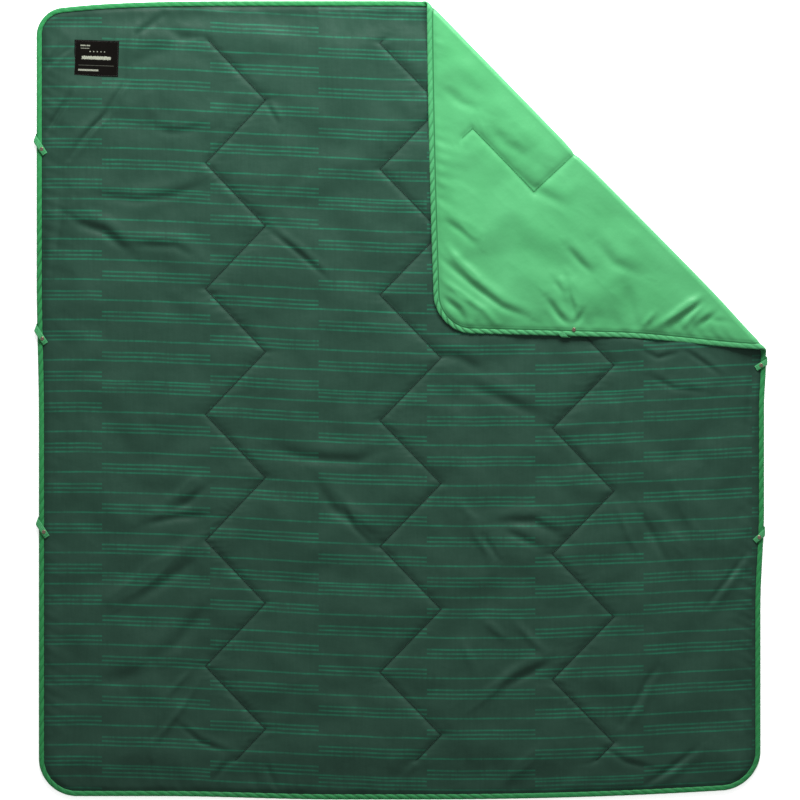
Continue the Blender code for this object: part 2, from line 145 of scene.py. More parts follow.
# Print: columns of equal width, and ten lines in each repeat, the last one closer to the line above it
COLUMN_WIDTH, COLUMN_START = 0.2696, -1.0126
LINE_STEP, LINE_LAST, REPEAT, FIRST_LINE = 0.05015, 0.4289, 0.4790, 0.9310
LINE_HALF, LINE_SOFT = 0.0021, 0.0012
EXTRA_LINES = (0.0100, 0.0205)
PRINT_SAG, SAG_CENTRE, SAG_REACH = 0.036, 0.20, 1.08

# Studio
WHITE_STRENGTH, FLOOR_GLOW, FLOOR_DROP = 0.55, 0.5, 0.0006
KEY_POWER, KEY_SIZE, KEY_PLACE, KEY_AIM = 390.0, (3.0, 1.2), (0.3, 3.1, 1.5), (0.0, -0.1, 0.0)
VIEW_CENTRE, VIEW_HEIGHT, VIEW_WIDTH = (-0.0012, 0.0006), 3.0, 1.991


# ---------------------------------------------------------------- shape of the blanket


def ease(low, high, value):
    share = np.clip((value - low) / (high - low), 0.0, 1.0)
    return share * share * (3.0 - 2.0 * share)


def drawn_in(x, y):
    """The outline isn't a true rectangle: its sides bow, and the turned corner is drawn in by its creases."""
    across, along = x / HALF_WIDTH, y / HALF_LENGTH
    right = RIGHT_SIDE + RIGHT_LOW_BOW * ease(-0.52, -0.27, y) + RIGHT_HIGH_BOW * ease(-0.02, 0.09, y)
    right -= RIGHT_TAPER * ease(0.12, 0.50, y)
    left = LEFT_SIDE + LEFT_BOW * ease(-0.05, 0.30, y)
    to_right = (right - HALF_WIDTH) * ease(SIDE_START, 1.0, across)
    to_left = (left - HALF_WIDTH) * ease(SIDE_START, 1.0, -across)
    top = np.where(x < 0, TOP_LEFT_DROP * across**6, TOP_RIGHT_DROP * np.abs(across) ** 1.3)
    bottom = BOTTOM_LEFT_RISE * ease(0.15, 0.60, -x)
    bottom = np.where(x < 0, bottom, BOTTOM_RIGHT_RISE * np.abs(across) ** 2.2)
    rise = np.where(y > 0, -top * ease(END_START, 1.0, along), bottom * ease(END_START, 1.0, -along))
    return x + np.where(x > 0, to_right, -to_left), y + rise


def corner_radius(x, y):
    return np.where((x < 0) & (y > 0), LABEL_CORNER_RADIUS, CORNER_RADIUS)


def inset_of(x, y):
    """Distance in from the flat outline."""
    radius = corner_radius(x, y)
    beside = np.abs(x) - (HALF_WIDTH - radius)
    above = np.abs(y) - (HALF_LENGTH - radius)
    outside = np.hypot(np.maximum(beside, 0.0), np.maximum(above, 0.0))
    return radius - outside - np.minimum(np.maximum(beside, above), 0.0)


def fold_distance(x, y):
    return (x - FOLD_POINT[0]) * FOLD_ACROSS[0] + (y - FOLD_POINT[1]) * FOLD_ACROSS[1]


def mirrored(x, y):
    """The same places on the other side of the fold line."""
    distance = fold_distance(x, y)
    return x - 2 * distance * FOLD_ACROSS[0], y - 2 * distance * FOLD_ACROSS[1]


def settle(x, y, inset):
    """How far the turned corner's rim sinks onto the blanket under it; the snap on it holds it up."""
    beyond = ease(FOLD_HALF, FOLD_HALF + 0.10, fold_distance(x, y))
    snap_x, snap_y = snap_place("loop_right_1")
    near_snap = np.exp(-((x - snap_x) ** 2 + (y - snap_y) ** 2) / 0.045**2)
    return SETTLE * beyond * (1.0 - near_snap) * (1.0 - ease(0.0, SETTLE_WIDTH, inset))


def folded(points, inset=None):
    """Where points of the flat blanket lie once the corner is turned over."""
    x, y, z = points[:, 0], points[:, 1], points[:, 2]
    distance = fold_distance(x, y)
    radius = FOLD_HEIGHT - z
    turn = math.pi * (np.clip(distance, -FOLD_HALF, FOLD_HALF) + FOLD_HALF) / (2 * FOLD_HALF)
    across = np.where(
        distance <= -FOLD_HALF, distance,
        np.where(distance >= FOLD_HALF, -distance, radius * np.sin(turn) - FOLD_HALF),
    )
    height = FOLD_HEIGHT - radius * np.cos(turn)
    if inset is not None:
        height = height - settle(x, y, inset)
    along = (x - FOLD_POINT[0]) * FOLD_ACROSS[1] - (y - FOLD_POINT[1]) * FOLD_ACROSS[0]
    bulge = FOLD_BULGE * ease(0.40, 0.95, along) * (1.0 - ease(1.00, 1.17, along))
    bulge = bulge - FOLD_NOTCH * np.exp(-(((along - FOLD_NOTCH_PLACE) / 0.035) ** 2))
    move = across - distance + bulge * np.exp(-np.maximum(-across, 0.0) / FOLD_BULGE_REACH)
    return np.stack([x + FOLD_ACROSS[0] * move, y + FOLD_ACROSS[1] * move, height], axis=1)


# ---------------------------------------------------------------- relief of the cloth


def noise(x, y, size, seed, turn=0.0, stretch=1.0):
    """Smooth noise from -1 to 1 with bumps of that size, stretched along the direction turn."""
    lattice = np.random.default_rng(seed).random((101, 101)) * 2.0 - 1.0
    cos, sin = math.cos(turn), math.sin(turn)
    u = (x * cos + y * sin) / (size * stretch) + 500.0
    v = (y * cos - x * sin) / size + 500.0
    i, j = np.floor(u).astype(int), np.floor(v).astype(int)
    a, b = ease(0.0, 1.0, u - i), ease(0.0, 1.0, v - j)
    rows = [lattice[(i + p) % 101, (j + q) % 101] for p, q in ((0, 0), (1, 0), (0, 1), (1, 1))]
    return (rows[0] * (1 - a) + rows[1] * a) * (1 - b) + (rows[2] * (1 - a) + rows[3] * a) * b


def crumple(x, y, size, seed, turn, stretch):
    """Sharp ridges between soft hollows, from 0 to 1."""
    return (1.0 - np.abs(noise(x, y, size, seed, turn, stretch))) ** 2


def seam_across(line, y):
    """Where a zigzag quilting line is at that height."""
    left, right, first = QUILTING[line]
    return left + (right - left) * np.abs(((first - y) / QUILTING_STEP + 1.0) % 2.0 - 1.0)


def seam_slope(line):
    """Length along the blanket of one unit of a quilting line."""
    left, right, _ = QUILTING[line]
    return QUILTING_STEP / math.hypot(QUILTING_STEP, right - left)


def seam_distance(x, y):
    """Distance to the nearest quilting line."""
    nearest = np.full(x.shape, 1.0)
    for line in QUILTING:
        nearest = np.minimum(nearest, np.abs(x - seam_across(line, y)) * seam_slope(line))
    past_end = np.maximum(np.abs(y) - QUILTING_END, 0.0)
    return np.hypot(nearest, past_end)


# Creases, in millimetres: points of the line, half width and height. A furrow has a negative height and a
# ridge beside it, on the line's left; a ridge stands alone.
PRINTED_CREASES = [
    (((-803, 889), (-845, 860), (-882, 822)), 4.5, -2.2),
    (((-823, 760), (-850, 715), (-880, 665)), 4.5, -2.6),
    (((-673, 822), (-690, 785), (-715, 745)), 5, -2.4),
    (((-720, 725), (-770, 675), (-823, 600)), 5, -3),
    (((590, 130), (640, 105), (700, 120)), 6, -2.4),
    (((700, 130), (745, 100), (800, 60)), 6, -2.8),
    (((620, 60), (680, 30), (760, 20)), 7, -2.4),
    (((-150, -250), (-115, -320), (-60, -370)), 6, -2.4),
    (((-560, -800), (-500, -850), (-420, -880)), 7, -2.6),
    (((500, -860), (560, -900), (640, -920)), 7, -2.6),
    (((-825, 602), (-795, 650), (-740, 705), (-706, 757), (-681, 800)), 7, -3.4),
    (((-681, 800), (-666, 842), (-653, 912), (-586, 961)), 8, -3.4),
    (((-887, 658), (-835, 742), (-818, 782)), 7, -3.2),
    (((-890, 812), (-848, 882)), 7, -3),
    (((-825, 461), (-800, 439), (-740, 421), (-671, 366)), 12, -5.4),
    (((-773, 511), (-653, 496), (-568, 508), (-477, 543)), 12, -3.4),
    (((-621, 681), (-575, 666), (-492, 676)), 12, -3.2),
    (((-580, 922), (-545, 903), (-487, 903)), 12, -3.4),
    (((-673, 829), (-624, 863), (-545, 883)), 22, -4),
    (((-867, 326), (-855, 396), (-842, 481), (-825, 526)), 9, -3.6),
    (((-673, 386), (-560, 382), (-512, 357)), 10, -3),
    (((-329, 425), (-255, 367), (-181, 302)), 7, -3.8),
    (((-334, 740), (-304, 686)), 6, -2.8),
    (((-629, 775), (-614, 701)), 12, 2.4),
    (((-476, -325), (-590, -405), (-679, -465), (-724, -495)), 16, 4.6),
    (((-680, -510), (-590, -455), (-500, -390)), 14, -4.4),
    (((-641, -310), (-552, -291), (-476, -288)), 9, -3.6),
    (((-495, -184), (-552, -234), (-590, -260)), 12, 3.4),
    (((-578, -279), (-527, -254), (-476, -209)), 10, -3.6),
    (((-521, -672), (-559, -711), (-584, -742)), 8, 3.4),
    (((-495, -691), (-540, -761), (-590, -825), (-616, -857), (-616, -920)), 8, 3.8),
    (((-743, -704), (-616, -672)), 20, -3.8),
    (((-616, -641), (-559, -609), (-476, -507)), 16, -4.2),
    (((-317, -120), (-235, -146), (-108, -152), (-44, -127)), 13, -3.8),
    (((-223, -184), (-171, -266), (-76, -336), (-44, -361)), 13, -4),
    (((-464, -945), (-425, -895)), 8, -3),
    (((-311, -970), (-337, -900)), 8, -2.6),
    (((170, 35), (265, -3), (347, -41)), 14, -4),
    (((68, 118), (145, 105), (208, 67)), 13, -3.4),
    (((551, 54), (545, -9), (544, -92)), 9, 3),
    (((437, -124), (456, -174)), 8, -2.8),
    (((142, -253), (181, -295), (189, -339), (223, -386), (227, -429)), 10, 4),
    (((206, -339), (245, -400)), 9, -3.4),
    (((227, -305), (332, -301), (403, -339)), 11, -4),
    (((208, -548), (265, -596)), 10, 3.6),
    (((280, -548), (332, -601), (365, -629)), 10, 3.8),
    (((327, -644), (284, -672), (227, -724), (156, -767), (108, -810)), 13, 4.2),
    (((254, -715), (291, -695), (382, -647)), 10, -3.6),
    (((156, -601), (189, -686), (204, -720)), 10, 3),
    (((536, -258), (570, -343), (594, -386)), 8, 3.8),
    (((618, -248), (665, -320), (713, -391)), 14, 4.4),
    (((583, -263), (633, -345), (666, -415)), 10, -3.8),
    (((671, -187), (716, -296), (760, -371)), 13, 4),
    (((641, -662), (613, -700), (589, -753), (551, -805)), 8, -3.2),
    (((742, -863), (675, -915), (608, -958)), 8, -3.6),
    (((863, -378), (818, -441), (760, -517)), 7, -3.4),
    (((351, -863), (303, -910), (246, -963)), 13, 3.4),
    (((13, -934), (41, -900)), 10, 2.6),
    (((881, 90), (872, 30), (866, -60), (868, -120)), 10, -3.8),
    (((253, -320), (355, -372)), 10, -3.2),
]

# Creases of the reverse on the turned corner, as seen from above, in millimetres
REVERSE_CREASES = [
    (((106, 396), (145, 347), (208, 289)), 10, 4.2),
    (((101, 352), (176, 289), (253, 232), (316, 207)), 9, -5),
    (((101, 302), (151, 263), (208, 225), (240, 187)), 9, 4.6),
    (((106, 257), (145, 225), (163, 194)), 8, -4),
    (((101, 455), (150, 420), (190, 385)), 9, -3),
    (((361, 257), (392, 213), (424, 181)), 8, -4.6),
    (((411, 308), (418, 276), (437, 194)), 7, -3.8),
    (((437, 187), (456, 225)), 6, -3.4),
    (((411, 384), (443, 347), (474, 314)), 9, -3.6),
    (((380, 302), (404, 264)), 8, -3.2),
    (((589, 168), (570, 245), (560, 290)), 13, -4),
    (((601, 181), (633, 220)), 7, 3.8),
    (((621, 175), (684, 213), (729, 245), (786, 289)), 9, 5),
    (((660, 175), (710, 215), (765, 250)), 8, -3.6),
    (((697, 175), (729, 213), (761, 245)), 7, 3.8),
    (((735, 181), (780, 213), (818, 245)), 7, -4),
    (((767, 200), (830, 194), (869, 175)), 7, -3.8),
    (((480, 400), (530, 340), (600, 310)), 14, -3.4),
    (((300, 560), (340, 520), (420, 480)), 13, -2.8),
    (((210, 700), (260, 640), (330, 600)), 14, -2.6),
    (((100, 780), (150, 740), (210, 720)), 12, -2.4),
]


def creased(x, y, creases):
    """Sum of the creases, each fading at its ends."""
    total = np.zeros(x.shape)
    for line, width, height in creases:
        points, width, height = 0.001 * np.array(line), 0.001 * width, 0.001 * height
        lengths = np.hypot(*np.diff(points, axis=0).T)
        whole, start = lengths.sum(), 0.0
        best = np.full(x.shape, 9.0)
        place, side = np.zeros(x.shape), np.zeros(x.shape)
        for (x0, y0), (x1, y1), length in zip(points[:-1], points[1:], lengths):
            ux, uy = (x1 - x0) / length, (y1 - y0) / length
            along = (x - x0) * ux + (y - y0) * uy
            off = (y - y0) * ux - (x - x0) * uy
            away = np.hypot(off, along - np.clip(along, 0.0, length))
            closer = away < best
            best = np.where(closer, away, best)
            place = np.where(closer, (start + np.clip(along, 0.0, length)) / whole, place)
            side = np.where(closer, np.where(off > 0, away, -away), side)
            start += length
        fade = np.sin(math.pi * np.clip(place, 0.04, 0.96)) ** 0.7
        shape = np.exp(-((side / width) ** 2))
        if height < 0:
            shape = shape - 0.75 * np.exp(-(((side - 1.9 * width) / (1.5 * width)) ** 2))
        total += height * fade * shape
    return total


def grid_faces(index):
    """Quads between the neighbours in a grid of point numbers."""
    return np.stack([index[:-1, :-1], index[:-1, 1:], index[1:, 1:], index[1:, :-1]], axis=-1).reshape(-1, 4)


def simulate_shell():
    """Heights, on a coarse grid, of a slack shell sewn down at its seams and edge over springy filling.

    A cloth simulation: the shell is a little larger than what it is sewn to, so it buckles between the seams.
    """
    columns, rows = round(2 * HALF_WIDTH / SHELL_CELL), round(2 * HALF_LENGTH / SHELL_CELL)
    x, y = np.meshgrid(
        np.linspace(-HALF_WIDTH, HALF_WIDTH, columns + 1), np.linspace(-HALF_LENGTH, HALF_LENGTH, rows + 1)
    )
    index = np.arange(x.size).reshape(x.shape)
    start = 0.0010 * noise(x, y, 0.045, 61) + 0.0006 * noise(x, y, 0.024, 62)
    mesh = bpy.data.meshes.new("shell_at_rest")
    mesh.from_pydata(np.stack([x, y, start], axis=-1).reshape(-1, 3), [], grid_faces(index).tolist())
    shell = bpy.data.objects.new("shell_at_rest", mesh)
    bpy.context.scene.collection.objects.link(shell)
    sewn = (seam_distance(x, y) < 0.62 * SHELL_CELL) | (inset_of(x, y) < BINDING_WIDTH)
    held = shell.vertex_groups.new(name="held")
    held.add(index[sewn].tolist(), 1.0, "REPLACE")
    held.add(index[~sewn].tolist(), FILLING_HOLD, "REPLACE")
    cloth = shell.modifiers.new("cloth", "CLOTH")
    settings = cloth.settings
    settings.quality = 4
    settings.mass = 0.1
    settings.tension_stiffness = settings.compression_stiffness = 15.0
    settings.shear_stiffness = 5.0
    settings.bending_stiffness = 5.0
    settings.vertex_group_mass = "held"
    settings.shrink_min = settings.shrink_max = -SHELL_SLACK
    settings.effector_weights.gravity = 0.0
    cloth.collision_settings.use_collision = False
    cloth.point_cache.frame_start, cloth.point_cache.frame_end = 1, SHELL_FRAMES
    for moment in range(1, SHELL_FRAMES + 1):
        bpy.context.scene.frame_set(moment)
    posed = shell.evaluated_get(bpy.context.evaluated_depsgraph_get())
    places = np.empty(x.size * 3, np.float32)
    posed.data.vertices.foreach_get("co", places)
    bpy.data.objects.remove(shell, do_unlink=True)
    bpy.data.meshes.remove(mesh)
    bpy.context.scene.frame_set(1)
    return places.reshape(-1, 3)[:, 2].reshape(x.shape).astype(float)


def buckles(x, y):
    """The simulated heights between the grid's points, with smooth weights."""
    total = np.zeros(np.shape(x))
    rows, columns = SHELL_HEIGHTS.shape
    u = (x + HALF_WIDTH) / (2 * HALF_WIDTH) * (columns - 1)
    v = (y + HALF_LENGTH) / (2 * HALF_LENGTH) * (rows - 1)
    i, j = np.rint(u).astype(int), np.rint(v).astype(int)
    a, b = u - i, v - j
    for di, wa in ((-1, 0.5 * (0.5 - a) ** 2), (0, 0.75 - a**2), (1, 0.5 * (0.5 + a) ** 2)):
        for dj, wb in ((-1, 0.5 * (0.5 - b) ** 2), (0, 0.75 - b**2), (1, 0.5 * (0.5 + b) ** 2)):
            total += wa * wb * SHELL_HEIGHTS[np.clip(j + dj, 0, rows - 1), np.clip(i + di, 0, columns - 1)]
    return total


def quilted(x, y, inset):
    """Relief that both faces share, with puffs between the seams and puckers beside them; the seams' dip."""
    away = seam_distance(x, y)
    round_away = np.sqrt(away**2 + 0.002**2) - 0.002
    along = (y + 0.7 * noise(x, y, 0.05, 11) * 0.02) / 0.0165
    pucker = np.sin(2 * math.pi * along) * np.exp(-round_away / 0.013) * (1.0 - np.exp(-round_away / 0.004))
    puff = 0.0022 * (1.0 - np.exp(-round_away / 0.045)) * ease(0.02, 0.12, inset)
    dip = SEAM_DIP * np.exp(-round_away / 0.0060) * ease(0.02, 0.05, inset)
    return puff + 0.0011 * pucker * (0.5 + 0.5 * noise(x, y, 0.09, 12)), dip


def gathers(x, y, inset, seed):
    """Small folds that run in from the edge binding."""
    near = np.exp(-np.maximum(inset - 0.012, 0.0) / 0.032)
    beside = np.abs(x) / HALF_WIDTH > np.abs(y) / HALF_LENGTH
    along = np.where(beside, y + 0.45 * x, x + 0.3 * y)
    swing = noise(x, y, 0.12, seed) * 1.6
    depth = 0.35 + 0.65 * noise(x, y, 0.15, seed + 1)
    return near * (np.sin(2 * math.pi * along / 0.031 + swing * 3.0) * depth)


def rough(x, y, seed):
    """Soft unevenness of the filling and small crumples of the shell."""
    soft = 0.0016 * noise(x, y, 0.110, seed, 0.9, 1.6) + 0.0010 * noise(x, y, 0.055, seed + 1, -0.6, 1.8)
    sharp = 0.0013 * crumple(x, y, 0.085, seed + 2, 1.0, 2.6) * ease(-0.1, 0.6, noise(x, y, 0.25, seed + 3))
    fine = 0.0005 * crumple(x, y, 0.035, seed + 4, -0.9, 2.0)
    return soft + sharp + fine


def keep_flat(x, y, inset):
    """From 0 at the edge, the snaps, the label and the fold, where the cloth is held, to 1 elsewhere."""
    free = ease(BINDING_WIDTH - 0.004, 0.030, inset)
    free = free * (1.0 - 0.85 * np.exp(-((fold_distance(x, y) / 0.022) ** 2)))
    for name in LOOPS:
        snap_x, snap_y = snap_place(name)
        free *= 1.0 - np.exp(-((x - snap_x) ** 2 + (y - snap_y) ** 2) / 0.016**2)
    label = ((x - LABEL_CENTRE[0]) / 0.075) ** 4 + ((y - LABEL_CENTRE[1]) / 0.062) ** 4
    return free * (1.0 - 0.9 * np.exp(-label))


def covered(x, y):
    """1 where the turned corner lies over the printed face, and on that corner itself."""
    over_x, over_y = mirrored(x, y)
    under = ease(0.0, 0.03, inset_of(over_x, over_y + 0.02))
    return np.where(fold_distance(x, y) > 0, 1.0, under)


def sewn_dip(inset):
    """How far each face dips where the binding is sewn on."""
    return SEWN_DIP * (1.0 - ease(BINDING_WIDTH, BINDING_WIDTH + 0.010, inset))


def rim_height(inset):
    """The printed face falls from the full thickness to the thin rim."""
    height = RIM_THICKNESS + (THICKNESS - RIM_THICKNESS) * ease(RIM_WIDTH, RIM_WIDTH + RISE_WIDTH, inset)
    return height - sewn_dip(inset)


def printed_height(x, y, inset):
    """The printed face: lively where it is seen, and nearly flat where the turned corner lies."""
    shared, seam_dip = quilted(x, y, inset)
    relief = shared + 0.6 * rough(x, y, 20) + creased(x, y, PRINTED_CREASES) + PRINTED_SLACK * buckles(x, y)
    relief += 0.0012 * gathers(x, y, inset, 30)
    relief = np.minimum(relief * keep_flat(x, y, inset), 0.0062)
    hidden = covered(x, y)
    relief = np.where(hidden > 0, relief * (1 - hidden) - 0.0004 * hidden, relief)
    return rim_height(inset) + relief - seam_dip


def reverse_height(x, y, inset):
    """The plain face: flat on the ground under the main panel, with its own relief on the turned corner."""
    shared, seam_dip = quilted(x, y, inset)
    turned = ease(0.0, 0.06, fold_distance(x, y))
    relief = 1.3 * shared + 0.8 * rough(x, y, 40) + creased(*mirrored(x, y), REVERSE_CREASES)
    relief += REVERSE_SLACK * buckles(-x, -y)
    relief += 0.0015 * gathers(x, y, inset, 50)
    relief = np.clip(relief * turned * keep_flat(x, y, inset), -0.005, 0.0075)
    height = FLOOR_GAP + sewn_dip(inset) - relief + seam_dip
    return np.minimum(height, printed_height(x, y, inset) - LEAST_THICKNESS)


# ---------------------------------------------------------------- meshes


def flat_grid(step, inset):
    """Flat points and quads over the blanket, out to inset from its outline."""
    rows = round(2 * HALF_LENGTH / step)
    columns = 2 * round(HALF_WIDTH / step)
    y = np.linspace(-(HALF_LENGTH - inset), HALF_LENGTH - inset, rows + 1)[:, None]
    share = np.linspace(-1.0, 1.0, columns + 1)[None, :]
    radius = corner_radius(np.broadcast_to(share, (rows + 1, columns + 1)), y)
    above = np.maximum(np.abs(y) - (HALF_LENGTH - radius), 0.0)
    reach = HALF_WIDTH - radius + np.sqrt(np.maximum((radius - inset) ** 2 - above**2, 0.0))
    x = share * reach
    points = np.stack([x.ravel(), np.broadcast_to(y, x.shape).ravel()], axis=1)
    return points, grid_faces(np.arange(len(points)).reshape(x.shape))


def sliced_grid(step, inset):
    """The grid drawn in to the blanket's outline and cut along lines that follow the fold.

    Gives the points, their place on the flat rectangle and the faces.
    """
    flat, faces = flat_grid(step, inset)
    x, y = drawn_in(flat[:, 0], flat[:, 1])
    mesh = bpy.data.meshes.new("grid")
    mesh.from_pydata(np.stack([x, y, np.zeros_like(x)], axis=1), [], faces.tolist())
    for name, values in (("flat_x", flat[:, 0]), ("flat_y", flat[:, 1])):
        mesh.attributes.new(name, "FLOAT", "POINT").data.foreach_set("value", values.astype(np.float32))
    made = bmesh.new()
    made.from_mesh(mesh)
    bpy.data.meshes.remove(mesh)
    across, point = Vector((*FOLD_ACROSS, 0.0)), Vector((*FOLD_POINT, 0.0))
    near = {f for f in made.faces if abs((f.calc_center_median() - point).dot(across)) < 2.5 * FOLD_HALF}
    part = list(near) + list({e for f in near for e in f.edges}) + list({v for f in near for v in f.verts})
    for i in range(-2, FOLD_SLICES + 3):
        place = point + across * FOLD_HALF * (2 * i / FOLD_SLICES - 1)
        part = bmesh.ops.bisect_plane(made, geom=part, dist=1e-5, plane_co=place, plane_no=across)["geom"]
    made.verts.index_update()
    points = np.array([v.co.xy for v in made.verts])
    layers = [made.verts.layers.float[name] for name in ("flat_x", "flat_y")]
    flat = np.array([[v[layer] for layer in layers] for v in made.verts])
    faces = [[v.index for v in f.verts] for f in made.faces]
    made.free()
    return points, flat, faces


def face_sums(values, faces):
    """Sum of values(corner, next corner) round each face, where both are arrays of point numbers."""
    corners = np.concatenate([np.asarray(face) for face in faces])
    following = np.concatenate([np.asarray(face[1:] + face[:1]) for face in faces])
    starts = np.cumsum([0] + [len(face) for face in faces[:-1]])
    return np.add.reduceat(values(corners, following), starts)


def region(points, faces, low, high):
    """The faces whose middle lies between two distances from the fold line."""
    distance = fold_distance(points[:, 0], points[:, 1])
    middle = face_sums(lambda here, _: distance[here], faces) / np.array([len(face) for face in faces])
    return [faces[i] for i in np.nonzero((middle > low) & (middle < high))[0]]


def add_object(name, points, faces, look, uv=None, mark=None):
    """A mesh object from the points that its faces use; uv and mark tell the material each point's place."""
    used = np.zeros(len(points), bool)
    used[np.concatenate([np.asarray(face) for face in faces])] = True
    new_index = np.cumsum(used) - 1
    mesh = bpy.data.meshes.new(name)
    new_index = new_index.tolist()
    mesh.from_pydata(points[used], [], [[new_index[i] for i in face] for face in faces])
    if uv is not None:
        loops = np.empty(len(mesh.loops), np.int32)
        mesh.loops.foreach_get("vertex_index", loops)
        layer = mesh.uv_layers.new(name="cloth")
        layer.data.foreach_set("uv", uv[used][loops].astype(np.float32).ravel())
    if mark is not None:
        mesh.attributes.new("mark", "FLOAT", "POINT").data.foreach_set("value", mark[used].astype(np.float32))
    mesh.materials.append(look)
    mesh.shade_smooth()
    made = bpy.data.objects.new(name, mesh)
    bpy.context.scene.collection.objects.link(made)
    return made


def flat_area(flat, faces):
    """Area of faces on the flat rectangle."""
    x, y = flat[:, 0], flat[:, 1]
    return float(0.5 * np.abs(face_sums(lambda a, b: x[a] * y[b] - x[b] * y[a], faces)).sum())


def flat_size(flat, faces):
    used = flat[np.unique(np.concatenate([np.asarray(face) for face in faces]))]
    return tuple(float(v) for v in used.max(axis=0) - used.min(axis=0))


# ---------------------------------------------------------------- materials


class Value:
    """A node's output with arithmetic, so that a pattern in a material reads as a formula."""

    def __init__(self, tree, socket):
        self.tree, self.socket = tree, socket

    def work(self, operation, *others):
        node = self.tree.nodes.new("ShaderNodeMath")
        node.operation = operation
        for place, item in zip(node.inputs, (self, *others)):
            if isinstance(item, Value):
                self.tree.links.new(item.socket, place)
            else:
                place.default_value = item
        return Value(self.tree, node.outputs[0])

    def __add__(self, other):
        return self.work("ADD", other)

    def __sub__(self, other):
        return self.work("SUBTRACT", other)

    def __mul__(self, other):
        return self.work("MULTIPLY", other)

    def __truediv__(self, other):
        return self.work("DIVIDE", other)

    def size(self):
        return self.work("ABSOLUTE")

    def wrapped(self, period):
        return self.work("FLOORED_MODULO", period)

    def bounced(self, reach):
        return self.work("PINGPONG", reach)

    def floored(self):
        return self.work("FLOOR")

    def clamped(self):
        return self.most(0.0).least(1.0)

    def wave(self, per_metre):
        """Sine wave from 0 to 1."""
        return (self * per_metre).work("SINE") * 0.5 + 0.5

    def least(self, other):
        return self.work("MINIMUM", other)

    def most(self, other):
        return self.work("MAXIMUM", other)

    def above(self, edge):
        return self.work("GREATER_THAN", edge)

    def flipped(self):
        return self * -1.0 + 1.0

    def within(self, half, soft):
        """1 where the value is nearer to zero than half, with a soft edge."""
        return ((self.size() * -1.0 + half) / soft + 0.5).clamped()


class Look:
    """A Principled material under construction."""

    def __init__(self, name, roughness, metallic=0.0, specular=0.35, sheen=0.0):
        self.material = bpy.data.materials.new(name)
        self.material.use_nodes = True
        self.tree = self.material.node_tree
        self.shader = self.tree.nodes["Principled BSDF"]
        self.shader.inputs["Roughness"].default_value = roughness
        self.shader.inputs["Metallic"].default_value = metallic
        self.shader.inputs["Specular IOR Level"].default_value = specular
        self.shader.inputs["Sheen Weight"].default_value = sheen

    def place(self, kind="UV"):
        """The two or three coordinates of the point, in metres."""
        node = self.tree.nodes.new("ShaderNodeTexCoord")
        apart = self.tree.nodes.new("ShaderNodeSeparateXYZ")
        self.tree.links.new(node.outputs[kind], apart.inputs[0])
        return [Value(self.tree, output) for output in apart.outputs]

    def mark(self):
        """Cloth: distance in from the blanket's edge. Binding: how far its slanting rope stands out."""
        node = self.tree.nodes.new("ShaderNodeAttribute")
        node.attribute_name = "mark"
        return Value(self.tree, node.outputs["Fac"])

    def speckle(self, scale, detail=3.0, stretch=(1.0, 1.0, 1.0), kind="UV"):
        """Noise from 0 to 1."""
        place = self.tree.nodes.new("ShaderNodeTexCoord")
        mapping = self.tree.nodes.new("ShaderNodeMapping")
        mapping.inputs["Scale"].default_value = stretch
        texture = self.tree.nodes.new("ShaderNodeTexNoise")
        texture.inputs["Scale"].default_value = scale
        texture.inputs["Detail"].default_value = detail
        self.tree.links.new(place.outputs[kind], mapping.inputs["Vector"])
        self.tree.links.new(mapping.outputs[0], texture.inputs["Vector"])
        return Value(self.tree, texture.outputs["Fac"])

    def mixed(self, share, first, second):
        """Colour between two colours, or sockets, by a Value."""
        node = self.tree.nodes.new("ShaderNodeMix")
        node.data_type = "RGBA"
        self.tree.links.new(share.socket, node.inputs["Factor"])
        for key, item in (("A", first), ("B", second)):
            place = [i for i in node.inputs if i.name == key and i.type == "RGBA"][0]
            if isinstance(item, tuple):
                place.default_value = (*item, 1.0)
            else:
                self.tree.links.new(item, place)
        return [o for o in node.outputs if o.type == "RGBA"][0]

    def colour(self, socket):
        self.tree.links.new(socket, self.shader.inputs["Base Color"])

    def roughness(self, value):
        self.tree.links.new(value.socket, self.shader.inputs["Roughness"])

    def bump(self, height, distance, strength=1.0):
        node = self.tree.nodes.new("ShaderNodeBump")
        node.inputs["Distance"].default_value = distance
        node.inputs["Strength"].default_value = strength
        self.tree.links.new(height.socket, node.inputs["Height"])
        self.tree.links.new(node.outputs[0], self.shader.inputs["Normal"])


def seam_in_look(look):
    """Distance to the nearest quilting line, in a material whose coordinates are the cloth's."""
    x, y, _ = look.place()
    nearest = None
    for line, (left, right, first) in QUILTING.items():
        share = ((y * -1.0 + first) / QUILTING_STEP).bounced(1.0)
        away = (x - (share * (right - left) + left)).size() * seam_slope(line)
        nearest = away if nearest is None else nearest.least(away)
    return nearest + (y.size() - QUILTING_END).most(0.0)


def weave(look):
    """Fine plain weave, as a height from 0 to 1."""
    x, y, _ = look.place()
    return x.wave(2600.0) * 0.5 + y.wave(2600.0) * 0.5


